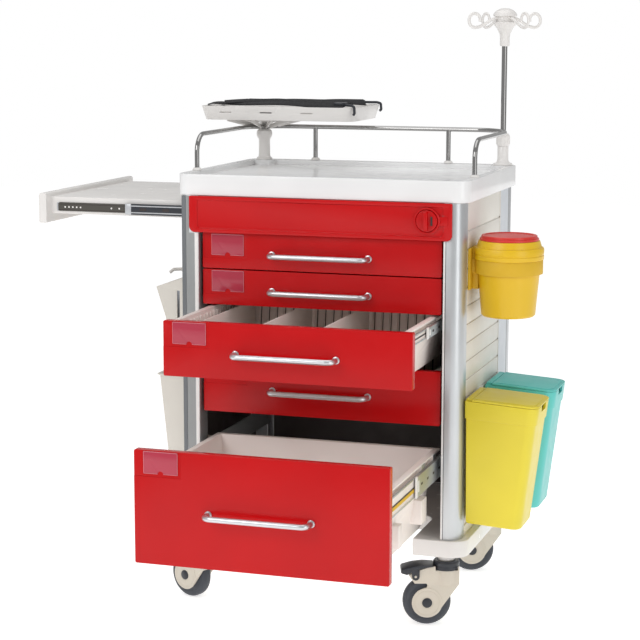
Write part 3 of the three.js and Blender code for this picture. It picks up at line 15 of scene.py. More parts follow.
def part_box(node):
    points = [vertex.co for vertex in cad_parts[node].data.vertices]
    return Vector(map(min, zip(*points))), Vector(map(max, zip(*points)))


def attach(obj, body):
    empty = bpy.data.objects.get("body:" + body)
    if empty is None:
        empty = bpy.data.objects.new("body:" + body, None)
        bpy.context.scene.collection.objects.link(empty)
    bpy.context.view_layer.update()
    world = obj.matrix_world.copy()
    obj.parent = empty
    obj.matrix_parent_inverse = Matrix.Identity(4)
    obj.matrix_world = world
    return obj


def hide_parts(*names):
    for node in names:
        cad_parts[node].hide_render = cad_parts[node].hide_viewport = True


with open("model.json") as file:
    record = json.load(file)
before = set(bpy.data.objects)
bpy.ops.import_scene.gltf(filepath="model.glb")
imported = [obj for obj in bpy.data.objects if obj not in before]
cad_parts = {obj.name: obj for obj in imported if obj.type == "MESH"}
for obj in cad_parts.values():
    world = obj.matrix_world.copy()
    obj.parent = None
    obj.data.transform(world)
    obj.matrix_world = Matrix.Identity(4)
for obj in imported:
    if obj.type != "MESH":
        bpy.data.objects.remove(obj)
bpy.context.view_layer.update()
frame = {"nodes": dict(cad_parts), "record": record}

MM = 0.001
ORIGIN = Vector((
    (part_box("worktop")[0].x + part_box("worktop")[1].x) / 2,
    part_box("worktop")[0].y,
    0,
))
BODY_OF = {
    node: body
    for body, nodes in frame["record"]["behaviour"]["bodies"].items()
    for node in nodes
}


def cart(point):
    """A point given in cart millimetres, in the shared frame's metres."""
    return ORIGIN + Vector(point) * MM


def box_of(node):
    """A CAD node's lowest and highest corners, in cart millimetres."""
    low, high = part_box(node)
    return (low - ORIGIN) / MM, (high - ORIGIN) / MM


# ------------------------------------------------------------------ camera, light and floor
CAMERA_AT = (1157.7, -3584.4, 1233.7)
CAMERA_YAW = 17.84  # degrees, turned left from straight ahead
CAMERA_PITCH = 9.1  # degrees, looking down
CAMERA_ROLL = 0.07
CAMERA_LENS = 104.47  # mm on a 36 mm sensor
DOME = 0.5  # strength of the light from all round
BACKDROP = 1.0  # what the camera sees behind the cart
FLOOR_GLOW = 0.6
LIGHTS = {
    "key": {"place": (-1300, -2800, 2300), "size": (1.5, 1.5), "power": 30},
    "fill": {"place": (2600, -1500, 1300), "size": (1.2, 2.2), "power": 15},
    "top": {"place": (0, 200, 3000), "size": (2.2, 2.2), "power": 19},
}


def make_camera():
    data = bpy.data.cameras.new("camera")
    data.sensor_width = 36
    data.lens = CAMERA_LENS
    data.clip_end = 50
    camera = bpy.data.objects.new("camera", data)
    bpy.context.scene.collection.objects.link(camera)
    turn = Matrix.Rotation(math.radians(CAMERA_YAW), 4, "Z")
    tilt = Matrix.Rotation(math.radians(90 - CAMERA_PITCH), 4, "X")
    roll = Matrix.Rotation(math.radians(CAMERA_ROLL), 4, "Z")
    camera.matrix_world = Matrix.Translation(cart(CAMERA_AT)) @ turn @ tilt @ roll
    bpy.context.scene.camera = camera


def make_light(name, place, size, power, look_at=(0, 200, 550)):
    data = bpy.data.lights.new(name, "AREA")
    data.shape = "RECTANGLE"
    data.size, data.size_y = size
    data.energy = power
    lamp = bpy.data.objects.new(name, data)
    bpy.context.scene.collection.objects.link(lamp)
    lamp.location = cart(place)
    lamp.rotation_euler = (cart(look_at) - lamp.location).to_track_quat("-Z", "Y").to_euler()


def make_world():
    world = bpy.data.worlds.new("studio")
    bpy.context.scene.world = world
    world.use_nodes = True
    tree = world.node_tree
    dome = tree.nodes["Background"]
    dome.inputs["Color"].default_value = (1, 1, 1, 1)
    dome.inputs["Strength"].default_value = DOME
    backdrop = tree.nodes.new("ShaderNodeBackground")
    backdrop.inputs["Strength"].default_value = BACKDROP
    backdrop.inputs["Color"].default_value = (1, 1, 1, 1)
    path = tree.nodes.new("ShaderNodeLightPath")
    mix = tree.nodes.new("ShaderNodeMixShader")
    tree.links.new(path.outputs["Is Camera Ray"], mix.inputs["Fac"])
    tree.links.new(dome.outputs["Background"], mix.inputs[1])
    tree.links.new(backdrop.outputs["Background"], mix.inputs[2])
    tree.links.new(mix.outputs["Shader"], tree.nodes["World Output"].inputs["Surface"])


def make_stage():
    make_world()
    for name, light in LIGHTS.items():
        make_light(name, **light)
    floor = bpy.data.meshes.new("floor")
    reach = 9
    floor.from_pydata(
        [(-reach, -reach, 0), (reach, -reach, 0), (reach, reach, 0), (-reach, reach, 0)],
        [], [(0, 1, 2, 3)])
    ground = bpy.data.objects.new("floor", floor)
    bpy.context.scene.collection.objects.link(ground)
    ground.location.z = -0.0005
    material = bpy.data.materials.new("floor")
    material.use_nodes = True
    shader = material.node_tree.nodes["Principled BSDF"]
    shader.inputs["Base Color"].default_value = (0.9, 0.9, 0.9, 1)
    shader.inputs["Roughness"].default_value = 0.7
    shader.inputs["Emission Color"].default_value = (1, 1, 1, 1)
    shader.inputs["Emission Strength"].default_value = FLOOR_GLOW
    floor.materials.append(material)
    bpy.context.scene.view_settings.view_transform = "Standard"


# ------------------------------------------------------------------ materials
def linear(colour):
    """A colour in 0 to 255 sRGB as a linear colour."""
    parts = [c / 255 for c in colour]
    return [c / 12.92 if c <= 0.04045 else ((c + 0.055) / 1.055) ** 2.4 for c in parts]


def noise(tree, scale, detail=3, stretch=None):
    """Noise in the object's own metres; stretch multiplies its scale along X, Y and Z."""
    place = tree.nodes.new("ShaderNodeTexCoord").outputs["Object"]
    if stretch:
        mapping = tree.nodes.new("ShaderNodeMapping")
        mapping.inputs["Scale"].default_value = stretch
        tree.links.new(place, mapping.inputs["Vector"])
        place = mapping.outputs["Vector"]
    texture = tree.nodes.new("ShaderNodeTexNoise")
    texture.inputs["Scale"].default_value = scale
    texture.inputs["Detail"].default_value = detail
    tree.links.new(place, texture.inputs["Vector"])
    return texture.outputs["Fac"]


def ranged(tree, value, low, high):
    """A noise value spread over low to high."""
    node = tree.nodes.new("ShaderNodeMapRange")
    node.inputs["From Min"].default_value = 0.3
    node.inputs["From Max"].default_value = 0.7
    node.inputs["To Min"].default_value = low
    node.inputs["To Max"].default_value = high
    tree.links.new(value, node.inputs["Value"])
    return node.outputs["Result"]


def blended(tree, factor, first, second):
    """Between two linear colours by a factor."""
    node = tree.nodes.new("ShaderNodeMix")
    node.data_type = "RGBA"
    node.inputs["A"].default_value = (*first, 1)
    node.inputs["B"].default_value = (*second, 1)
    tree.links.new(factor, node.inputs["Factor"])
    return node.outputs["Result"]


def bumped(tree, shader, height, depth):
    node = tree.nodes.new("ShaderNodeBump")
    node.inputs["Distance"].default_value = depth
    node.inputs["Strength"].default_value = 0.6
    tree.links.new(height, node.inputs["Height"])
    tree.links.new(node.outputs["Normal"], shader.inputs["Normal"])


def surface(name, colour, rough, metal=0.0, vary=0.04, blotch=7.0, grain=1500.0, depth=4e-5,
            stretch=None, **settings):
    """A material whose colour and gloss wander slightly over a fine moulded or brushed grain."""
    material = bpy.data.materials.new(name)
    material.use_nodes = True
    tree = material.node_tree
    shader = tree.nodes["Principled BSDF"]
    base = linear(colour)
    cloud = ranged(tree, noise(tree, blotch, 2), 0, 1)
    darker = [c * (1 - vary) for c in base]
    lighter = [min(c * (1 + vary), 1) for c in base]
    tree.links.new(blended(tree, cloud, darker, lighter), shader.inputs["Base Color"])
    smears = ranged(tree, noise(tree, blotch * 5, 4, stretch), rough * 0.85, rough * 1.15)
    tree.links.new(smears, shader.inputs["Roughness"])
    bumped(tree, shader, noise(tree, grain, 2, stretch), depth)
    shader.inputs["Metallic"].default_value = metal
    for key, value in settings.items():
        shader.inputs[key.replace("_", " ")].default_value = value
    return material


def webbing(name, colour):
    """A woven strap: two crossed waves of yarn."""
    material = surface(name, colour, 0.8, vary=0.2, blotch=60)
    tree = material.node_tree
    shader = tree.nodes["Principled BSDF"]
    place = tree.nodes.new("ShaderNodeTexCoord")
    heights = []
    for direction in ("X", "Y"):
        wave = tree.nodes.new("ShaderNodeTexWave")
        wave.bands_direction = direction
        wave.inputs["Scale"].default_value = 420
        wave.inputs["Distortion"].default_value = 0.4
        tree.links.new(place.outputs["Object"], wave.inputs["Vector"])
        heights.append(wave.outputs["Fac"])
    both = tree.nodes.new("ShaderNodeMath")
    both.operation = "MULTIPLY"
    tree.links.new(heights[0], both.inputs[0])
    tree.links.new(heights[1], both.inputs[1])
    bumped(tree, shader, both.outputs["Value"], 4e-4)
    return material


UPRIGHT = (40, 40, 1)  # brush lines along Z
FORE_AFT = (40, 1, 40)
SIDEWAYS = (1, 40, 40)
LOOKS = {
    "white": (surface("white_abs", (226, 223, 220), 0.24), "white_abs"),
    "top": (surface("worktop_abs", (230, 230, 230), 0.14, depth=1.5e-5), "white_abs"),
    "cream": (surface("cream_abs", (222, 218, 210), 0.45, grain=900, depth=8e-5), "cream_abs"),
    "tray": (surface("tray_abs", (238, 229, 223), 0.42, grain=900, depth=6e-5), "cream_abs"),
    "basket": (surface("basket_abs", (214, 209, 200), 0.42, grain=900, depth=6e-5), "white_abs"),
    "red": (surface("red_abs", (191, 8, 13), 0.22, vary=0.05, depth=2e-5,
                    Specular_IOR_Level=0.25), "red_abs"),
    "label": (surface("label_window", (176, 52, 72), 0.12, depth=1e-5), "red_abs"),
    "label_edge": (surface("label_edge", (206, 120, 132), 0.2, depth=1e-5), "red_abs"),
    "column": (surface("anodised", (196, 199, 201), 0.36, 0.75, stretch=UPRIGHT, grain=60,
                       depth=3e-5), "anodised_aluminium"),
    "column_dark": (surface("anodised_dark", (112, 115, 118), 0.45, 0.5, grain=700,
                            depth=6e-5), "anodised_aluminium"),
    "column_grey": (surface("anodised_grey", (150, 152, 152), 0.5, 0.35, grain=700,
                            depth=1e-4), "anodised_aluminium"),
    "handle": (surface("satin_tube", (205, 207, 210), 0.3, 0.9, stretch=SIDEWAYS, grain=60,
                       depth=2e-5), "satin_aluminium"),
    "zinc": (surface("zinc", (176, 180, 181), 0.42, 0.85, stretch=FORE_AFT, grain=60,
                     depth=3e-5), "zinc_steel"),
    "member": (surface("member_steel", (78, 75, 69), 0.5, 0.35, stretch=SIDEWAYS, grain=60,
                       depth=3e-5), "zinc_steel"),
    "silver": (surface("silver_clip", (188, 190, 193), 0.35, 0.6, grain=700, depth=4e-5),
               "zinc_steel"),
    "panel_grey": (surface("panel_grey", (196, 200, 206), 0.34, depth=2e-5), "cream_abs"),
    "chrome": (surface("chrome", (160, 159, 158), 0.08, 1.0, vary=0.02, depth=1e-5),
               "chrome_steel"),
    "strap": (webbing("webbing", (30, 30, 33)), "black_webbing"),
    "yellow": (surface("yellow_pp", (224, 182, 20), 0.36, grain=700, depth=6e-5),
               "yellow_plastic"),
    "yellow_ring": (surface("yellow_matte", (212, 170, 28), 0.6, grain=700, depth=1e-4),
                    "yellow_plastic"),
    "lemon": (surface("lemon_pp", (222, 204, 52), 0.36, grain=700, depth=6e-5),
              "yellow_plastic"),
    "red_lid": (surface("red_pp", (208, 44, 32), 0.34, grain=700, depth=6e-5), "red_lid"),
    "teal": (surface("teal_pp", (92, 196, 190), 0.36, grain=700, depth=6e-5), "teal_plastic"),
    "beige": (surface("beige_nylon", (206, 198, 184), 0.42, grain=900, depth=8e-5),
              "beige_nylon"),
    "tyre": (surface("tyre", (58, 62, 70), 0.5, vary=0.1, grain=900, depth=8e-5), "grey_tyre"),
    "black": (surface("black_nylon", (38, 41, 48), 0.36, grain=900, depth=6e-5), "black_nylon"),
    # dark brown: painted shade inside the cabinet and in slots, also used for small dark strips
    # and lines
    "dark": (surface("dark_and_painted_shade", (52, 44, 42), 0.6, vary=0.12), "black_nylon"),
    "bottle": (surface("bottle", (206, 214, 228), 0.25, vary=0.03, Transmission_Weight=0.35),
               "white_abs"),
    "frosted": (surface("frosted_abs", (232, 229, 226), 0.3),
                "white_abs"),
}


# ------------------------------------------------------------------ shapes, in cart millimetres
def round_rect(x0, x1, y0, y1, radii, steps=6):
    """A rectangle's outline with rounded corners, from the low corner, anticlockwise."""
    if not hasattr(radii, "__len__"):
        radii = [radii] * 4
    corners = [(x0, y0, 180), (x1, y0, 270), (x1, y1, 0), (x0, y1, 90)]
    points = []
    for (x, y, start), radius in zip(corners, radii):
        cx = x + radius if x == x0 else x - radius
        cy = y + radius if y == y0 else y - radius
        for i in range(steps + 1):
            angle = math.radians(start + 90 * i / steps)
            points.append((cx + radius * math.cos(angle), cy + radius * math.sin(angle)))
    return points


def standing(outline, axis, at):
    """A flat outline's points, in the plane across an axis."""
    if axis == "z":
        return [(u, v, at) for u, v in outline]
    if axis == "y":
        return [(u, at, v) for u, v in outline]
    return [(at, u, v) for u, v in outline]


def loft(rings, closed=False):
    """A skin through rings of equally many points, capped unless the rings close on themselves."""
    count = len(rings[0])
    points = [point for ring in rings for point in ring]
    faces = []
    for i in range(len(rings) if closed else len(rings) - 1):
        a = i * count
        b = (i + 1) % len(rings) * count
        for j in range(count):
            k = (j + 1) % count
            faces.append((a + j, a + k, b + k, b + j))
    if not closed:
        faces.append(tuple(range(count)))
        faces.append(tuple(range(len(points) - count, len(points))))
    return points, faces


def prism(outline, axis, low, high):
    return loft([standing(outline, axis, low), standing(outline, axis, high)])


def block(x0, x1, y0, y1, z0, z1, radius=0.6, steps=2):
    """A box whose four upright edges are rounded."""
    return prism(round_rect(x0, x1, y0, y1, radius, steps), "z", z0, z1)


def turned(profile, centre, axis="z", steps=40):
    """A closed profile of (radius, height) turned round an axis through centre."""
    rings = []
    for i in range(steps):
        angle = 2 * math.pi * i / steps
        across = math.cos(angle), math.sin(angle)
        ring = []
        for radius, height in profile:
            u, v = radius * across[0], radius * across[1]
            offset = {"z": (u, v, height), "y": (u, height, v), "x": (height, u, v)}[axis]
            ring.append(tuple(c + o for c, o in zip(centre, offset)))
        rings.append(ring)
    return loft(rings, closed=True)


def filleted(points, radii, steps=5):
    """A path whose inner corners are rounded."""
    points = [Vector(p) for p in points]
    path = [points[0]]
    for i in range(1, len(points) - 1):
        before = (points[i - 1] - points[i]).normalized()
        after = (points[i + 1] - points[i]).normalized()
        half = before.angle(after) / 2
        reach = radii[i - 1] / math.tan(half)
        centre = points[i] + (before + after).normalized() * radii[i - 1] / math.sin(half)
        first = points[i] + before * reach - centre
        last = points[i] + after * reach - centre
        turn = first.rotation_difference(last)
        for k in range(steps + 1):
            step = turn.copy()
            step.angle = turn.angle * k / steps
            path.append(centre + step @ first)
    path.append(points[-1])
    return path


def swept(path, section, up=(0, 0, 1), closed=False):
    """A section of (across, up) points carried along a path without twisting."""
    path = [Vector(p) for p in path]
    count = len(path)
    rings = []
    side = None
    for i, point in enumerate(path):
        ahead = path[(i + 1) % count] if closed or i < count - 1 else point
        behind = path[i - 1] if closed or i > 0 else point
        along = (ahead - behind).normalized()
        if side is None:
            reference = Vector(up)
            if abs(along.dot(reference)) > 0.95:
                reference = Vector((1, 0, 0))
            side = along.cross(reference).normalized()
        side = (side - along * side.dot(along)).normalized()
        rise = side.cross(along)
        rings.append([point + side * u + rise * v for u, v in section])
    return loft(rings, closed)


def circle(radius, steps=16, squash=1.0):
    return [
        (radius * math.cos(2 * math.pi * i / steps),
         radius * squash * math.sin(2 * math.pi * i / steps))
        for i in range(steps)
    ]


def pipe(points, radius, bends=(), steps=16, fillet=6):
    path = filleted(points, bends, fillet) if bends else points
    return swept(path, circle(radius, steps))


def joined(*shapes):
    points = []
    faces = []
    for shape_points, shape_faces in shapes:
        start = len(points)
        points += shape_points
        faces += [tuple(start + i for i in face) for face in shape_faces]
    return points, faces


def moved(shape, change):
    """A shape with its points put through change(x, y, z)."""
    points, faces = shape
    return [change(*point) for point in points], faces


def mirrored(shape):
    return moved(shape, lambda x, y, z: (-x, y, z))


# ------------------------------------------------------------------ pieces
def settle(obj, crease=34):
    """Applies an object's modifiers, then marks its sharp edges."""
    bpy.context.view_layer.update()
    graph = bpy.context.evaluated_depsgraph_get()
    mesh = bpy.data.meshes.new_from_object(obj.evaluated_get(graph))
    obj.modifiers.clear()
    obj.data = mesh
    mesh.shade_smooth()
    mesh.set_sharp_from_angle(angle=math.radians(crease))
    return obj


def new_object(name, work, look):
    bmesh.ops.recalc_face_normals(work, faces=work.faces)
    mesh = bpy.data.meshes.new(name)
    work.to_mesh(mesh)
    work.free()
    mesh.materials.append(LOOKS[look][0])
    obj = bpy.data.objects.new(name, mesh)
    bpy.context.scene.collection.objects.link(obj)
    return obj


def soften(obj, width, segments=3):
    """Rounds every edge sharper than a bend."""
    bevel = obj.modifiers.new("soft_edges", "BEVEL")
    bevel.width = width * MM
    bevel.segments = segments
    bevel.limit_method = "ANGLE"
    bevel.angle_limit = math.radians(38)
    bevel.use_clamp_overlap = True


def cut_away(obj, *shapes):
    """Takes shapes out of an object."""
    for i, shape in enumerate(shapes):
        work = bmesh.new()
        fill(work, shape)
        tool = new_object(f"cutter_{i}", work, "dark")
        cutting = obj.modifiers.new("cut", "BOOLEAN")
        cutting.object = tool
        cutting.operation = "DIFFERENCE"
        cutting.solver = "EXACT"
        settle(obj)
        bpy.data.objects.remove(tool)


def fill(work, shape):
    points, faces = shape
    made = [work.verts.new(cart(point)) for point in points]
    for face in faces:
        work.faces.new([made[i] for i in face])


def piece(name, shape, look, body, soft=0.0, segments=2, cuts=(), replaces=(), crease=34):
    """A visible piece that rides on a body and may stand for CAD nodes."""
    work = bmesh.new()
    fill(work, shape)
    bmesh.ops.remove_doubles(work, verts=work.verts, dist=1e-6)
    obj = new_object(name, work, look)
    return finish_piece(obj, body, soft, segments, cuts, replaces, crease)


def finish_piece(obj, body, soft, segments, cuts, replaces, crease):
    if cuts:
        cut_away(obj, *cuts)
    if soft:
        soften(obj, soft, segments)
    settle(obj, crease)
    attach(obj, body)
    if replaces:
        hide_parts(*replaces)
    return obj


def dressed(node, name, look, soft=0.0, segments=2, cuts=(), zones=(), crease=34):
    """A CAD node's shape with softened edges; zones give (test of a face's middle, look)."""
    work = bmesh.new()
    work.from_mesh(frame["nodes"][node].data)
    bmesh.ops.remove_doubles(work, verts=work.verts, dist=2e-6)
    bmesh.ops.dissolve_limit(work, angle_limit=math.radians(0.6), verts=work.verts,
                             edges=work.edges)
    obj = new_object(name, work, look)
    for number, (inside, zone_look) in enumerate(zones):
        obj.data.materials.append(LOOKS[zone_look][0])
        for polygon in obj.data.polygons:
            middle = (Vector(polygon.center) - ORIGIN) / MM
            if inside(middle):
                polygon.material_index = number + 1
    return finish_piece(obj, BODY_OF[node], soft, segments, cuts, (node,), crease)


# ------------------------------------------------------------------ the cart's own frame
COLUMN = {"inner": 262.5, "outer": 302.5}
COLUMN_ROUND = 25
COLUMN_EDGE = 3
COLUMN_WALL = 2.5
# The next two heights bound the painted shade sheets inside the cabinet; the upper one also tops
# the front column trims.
INSIDE_LOW = 188
INSIDE_HIGH = 801
TRIM_HIGH = 878
BAND_X = 301.6
BAND_RANGE = (189, 877)


def hollow_post(end, low, high):
    """A hollow extrusion, round at its outer corner."""
    corner = [COLUMN_EDGE] * 4
    corner[1 if end == "front" else 2] = COLUMN_ROUND
    inner, outer = COLUMN["inner"], COLUMN["outer"]
    wall = COLUMN_WALL
    skin = round_rect(inner, outer, low.y, high.y, corner, 10)
    bore = round_rect(inner + wall, outer - wall, low.y + wall, high.y - wall,
                      [max(r - wall, 1) for r in corner], 10)
    return loft([
        standing(skin, "z", low.z), standing(skin, "z", high.z),
        standing(bore, "z", high.z), standing(bore, "z", low.z),
    ], closed=True)


def column(side, end):
    """One corner post, with trims on its front face."""
    name = f"column_{end}_{side}"
    low, high = box_of(name)
    near = low.y
    if side == "right":
        piece(f"post_{end}_{side}", hollow_post(end, low, high), "column", "cart", 0.4, 2,
              replaces=(name,))
    else:
        # the left posts keep the notches that the side shelf runs through
        dressed(name, f"post_{end}_{side}", "column", 0.8, 2)
    if end == "front":
        bottom = low.z + 1
        face = near - 0.45
        strips = [(263.2, 266.6, bottom, INSIDE_HIGH, "frosted"),
                  (267.6, 268.6, bottom, INSIDE_HIGH, "dark")]
        if side == "left":
            strips = [(263.2, 270.4, bottom, INSIDE_HIGH, "frosted"),
                      (271.4, 289.5, bottom, INSIDE_HIGH, "column_grey"),
                      (283.0, 289.5, INSIDE_HIGH, TRIM_HIGH, "column_grey"),
                      (290.2, 299.0, bottom, TRIM_HIGH, "column_dark")]
        for number, (x0, x1, z0, z1, look) in enumerate(strips):
            strip = block(x0, x1, face, near + 0.6, z0, z1, 0.2, 1)
            if side == "left":
                strip = mirrored(strip)
            piece(f"trim_{side}_{number}", strip, look, "cart")


def make_frame():
    dressed("worktop", "worktop_top", "top", 4, 4)
    dressed("base_frame", "base_plate", "white", 4, 3)
    dressed("back_panel", "back_sheet", "cream", 0.8)
    for side in ("left", "right"):
        sign = 1 if side == "right" else -1
        dressed(f"side_panel_{side}", f"side_wall_{side}", "cream", 0.5, 2,
                zones=[(lambda p, s=sign: s * p.x < 258, "zinc")])
        for end in ("front", "rear"):
            column(side, end)
        # painted shade: dark sheets along the inside of each side wall, standing for the shade
        # inside the cabinet
        xs = sorted((sign * 291.2, sign * 293.8))
        top = INSIDE_HIGH if side == "right" else INSIDE_HIGH - 4
        piece(f"painted_shade_{side}", block(*xs, 46, 429, INSIDE_LOW, top), "dark", "cart")
    # painted shade: a dark sheet across the inside of the back, standing for the shade deep in the
    # cabinet
    piece("painted_shade_back", block(-260, 260, 466, 468.8, INSIDE_LOW, INSIDE_HIGH), "dark", "cart")
    # a smooth band along the right panel's rear part, with a bright bead on its front edge
    low, high = BAND_RANGE
    piece("side_band", block(BAND_X, BAND_X + 1.1, 345.8, 423.6, low, high, 0.2, 1),
          "panel_grey", "cart")
    piece("side_bead", block(BAND_X, BAND_X + 1.6, 343.6, 345.4, low, high, 0.4, 2), "white",
          "cart")
    # a dark gasket between the side panel and the rear column
    piece("gasket", block(301.9, 302.9, 424, 428.6, 189, 876), "column_grey", "cart")


LOCK = (230.0, 843.0)


def make_fascia():
    dressed("top_fascia", "fascia", "red", 1.2, 3)
    dressed("lock_knob", "lock_turn_knob", "red", 1.6, 3)
    x, z = LOCK
    face = box_of("top_fascia")[0].y
    ring = turned([(22.8, face + 1), (22.8, face - 1.6), (23.6, face - 2.2), (26, face - 2.2),
                   (27, face - 1.4), (27, face + 1)], (x, 0, z), "y", 56)
    piece("lock_ring", ring, "red", "cart")
    knob = box_of("lock_knob")[0].y
    # painted shade: a dark block standing for the shade in the lock's slot
    piece("lock_slot_shade", block(x + 9, x + 12.5, knob + 9, knob + 11.4, z - 9, z + 9), "dark",
          "lock")


# ------------------------------------------------------------------ drawers
LABEL = {"left": 20, "width": 71, "height": 44, "down": 2}
LABEL_STEP = {"width": 98, "height": 52, "depth": 0.9}
LABEL_NOTCH = 6
LABEL_THICK = 1.0
LABELLED = (1, 2, 3, 5)
FIN_PITCH = 18.4
FIN_WIDTH = 11.0
FIN_PROUD = 3.5
COMBED = (3, 4)
DIVIDERS = (-205, -74, 54)
TRAY_HALF = 236  # middle of the tray to its side wall
TRAY_WALL = 3
TRAY_LEAN = 0.14
TRAY_FLANGE = 9


def label_window(number, low, high):
    """A clear window with a thumb notch, standing in the shallow step."""
    left = low.x + LABEL["left"]
    right = left + LABEL["width"]
    top = high.z - LABEL["down"]
    bottom = top - LABEL["height"]
    middle = (left + right) / 2
    notch = [
        (middle - LABEL_NOTCH * math.cos(math.pi * i / 10),
         bottom + LABEL_NOTCH * math.sin(math.pi * i / 10))
        for i in range(11)
    ]
    outline = [(left, bottom), *notch, (right, bottom), (right, top), (left, top)]
    front = low.y + LABEL_STEP["depth"]
    body = f"drawer_{number}"
    piece(f"label_{number}", prism(outline, "y", front - LABEL_THICK, front + 0.2), "label",
          body, 0.2)
    edge = LABEL_THICK + 0.25
    bars = [
        block(left, right, front - edge, front, top - 1.1, top, 0.1, 1),
        block(left, left + 0.9, front - edge, front, bottom, top, 0.1, 1),
        block(right - 0.9, right, front - edge, front, bottom, top, 0.1, 1),
        block(left, middle - LABEL_NOTCH, front - edge, front, bottom, bottom + 0.8, 0.1, 1),
        block(middle + LABEL_NOTCH, right, front - edge, front, bottom, bottom + 0.8, 0.1, 1),
    ]
    piece(f"label_edge_{number}", joined(*bars), "label_edge", body)


def drawer_front(number):
    low, high = box_of(f"drawer_front_{number}")
    step = block(low.x - 2, low.x + LABEL_STEP["width"], low.y - 2, low.y + LABEL_STEP["depth"],
                 high.z - LABEL_STEP["height"], high.z + 2, 0.3, 1)
    dressed(f"drawer_front_{number}", f"front_{number}", "red", 1.5, 3, cuts=(step,))
    if number in LABELLED:
        label_window(number, low, high)


def drawer_handle(number):
    """A bow of satin tube with a small rose at each foot."""
    low, high = box_of(f"drawer_handle_{number}")
    radius = (high.z - low.z) / 2
    z = (high.z + low.z) / 2
    x = high.x - radius
    face = high.y
    front = low.y + radius
    body = f"drawer_{number}"
    bow = pipe([(-x, face, z), (-x, front, z), (x, front, z), (x, face, z)], radius, (14, 14))
    piece(f"handle_{number}", bow, "handle", body, replaces=(f"drawer_handle_{number}",))
    for side in (-1, 1):
        rose = turned([(0, face), (radius + 2, face), (radius + 1.6, face - 1.6),
                       (radius, face - 2.2), (0, face - 2.2)], (side * x, 0, z), "y", 24)
        piece(f"handle_{number}_rose_{'l' if side < 0 else 'r'}", rose, "handle", body)


def tray_sides(number):
    """The tray's inner faces: half width, back, floor and rim, in cart millimetres."""
    low, high = box_of(f"drawer_tray_{number}")
    rim = high.z
    back = high.y - TRAY_FLANGE - TRAY_WALL
    return TRAY_HALF - TRAY_WALL, low.y, back, low.z, rim


def comb(number):
    """Fins round the inside of a tray, and painted shade for the slots between them, for its
    dividers.
    """
    half, front, back, floor, rim = tray_sides(number)

    def leaned(x, y, z):
        lean = TRAY_LEAN * (rim - z)
        return x, y - lean, z

    fins = []
    low = floor + 12
    count = int((2 * half - 20) / FIN_PITCH)
    start = -count * FIN_PITCH / 2
    for i in range(count + 1):
        x = start + i * FIN_PITCH
        outline = round_rect(x - FIN_WIDTH / 2, x + FIN_WIDTH / 2, low, rim - 7, [1, 1, 4, 4], 4)
        fins.append(moved(prism(outline, "y", back - FIN_PROUD, back + 1), leaned))
    length = back - front
    for side in (-1, 1):
        for i in range(int(length / FIN_PITCH)):
            y = front + 12 + i * FIN_PITCH
            outline = round_rect(y - FIN_WIDTH / 2, y + FIN_WIDTH / 2, low, rim - 7,
                                 [1, 1, 4, 4], 4)
            bar = prism(outline, "x", side * (half + 1), side * (half - FIN_PROUD))
            fins.append(moved(bar, lambda x, y, z, s=side: (
                x - s * TRAY_LEAN * (rim - z), y, z)))
    piece(f"comb_{number}", joined(*fins), "tray", f"drawer_{number}")
    walls = []
    for x in DIVIDERS:
        walls.append(block(x - 1.2, x + 1.2, front + 4, back - 3 - TRAY_LEAN * (rim - floor),
                           floor + 4, rim - 9))
    piece(f"dividers_{number}", joined(*walls), "tray", f"drawer_{number}", 0.4)
    # painted shade: dark blocks in the back wall between the fins, for the shaded inside seen
    # through the slots
    slots = []
    for i in range(1, count + 1):
        gap = start + (i - 0.5) * FIN_PITCH
        bar = block(gap - 1.2, gap + 1.2, back - 0.5, back + 1.5, low + 8, rim - 1, 0.2, 1)
        slots.append(moved(bar, leaned))
    piece(f"comb_slot_shade_{number}", joined(*slots), "dark", f"drawer_{number}")


SLIDE_LIP = 3.2
SLIDE_GROOVE = 1.8


def slide_details(number):
    """The carriage clip, and painted shade for the slots that show on the right-hand middle
    member.
    """
    low, high = box_of(f"drawer_slide_{number}")
    z = (low.z + high.z) / 2
    half = (high.z - low.z) / 2
    body = f"drawer_slide_{number}"
    outer = high.x
    clip = joined(
        block(outer - 3.3, outer + 0.2, low.y - 3, low.y + 9, z - half - 0.5, z + half + 0.5),
        block(outer - 1, outer + 0.35, low.y + 12, low.y + 20, z - half * 0.55, z + half * 0.55),
    )
    piece(f"slide_clip_{number}", clip, "frosted", body, 0.4)
    # painted shade: dark patches standing for the shade seen through the member's slots
    slots = []
    y = low.y + 34
    while y < high.y - 30:
        slots.append(block(outer - 1, outer + 0.15, y, y + 13, z - 2.4, z + 2.4, 0.5))
        y += 46
    piece(f"slide_slot_shade_{number}", joined(*slots), "dark", body)


def drawer_tray(number):
    low, high = box_of(f"drawer_tray_{number}")
    _, middle = box_of(f"drawer_slide_{number}")
    slide_low = box_of(f"drawer_slide_{number}")[0]
    z = (slide_low.z + middle.z) / 2
    half = (middle.z - slide_low.z) / 2 - 1
    start = low.y + 3
    end = high.y - 1
    grooves = []
    for side in (-1, 1):
        xs = sorted((side * (249.5 - SLIDE_GROOVE), side * 252))
        grooves.append(block(*xs, start, end, z - half + SLIDE_LIP, z + half - SLIDE_LIP, 0.2, 1))
    dressed(f"drawer_tray_{number}", f"tray_{number}", "tray", 0.5, 2, cuts=grooves,
            zones=[(lambda p: abs(p.x) > 245.1, "zinc")])
    body = f"drawer_{number}"
    dressed(f"drawer_slide_{number}", f"slide_{number}", "zinc", 0.6, 2)
    for side in (-1, 1):
        xs = sorted((side * 247.6, side * 248.3))
        strip = block(*xs, low.y + 30, high.y - 30, z - 1.4, z + 1.4, 0.2, 1)
        tag = "l" if side < 0 else "r"
        piece(f"ball_strip_{number}_{tag}", strip, "dark", body)
    slide_details(number)
    if number in COMBED:
        comb(number)


TAPE_X = 247.7
TAPE_RANGE = (324, 331)
TRAY_STOPS = ((-225, 25, 20, 226, 272), (-70, 40, 26, 235, 285))  # y, width, depth, z range


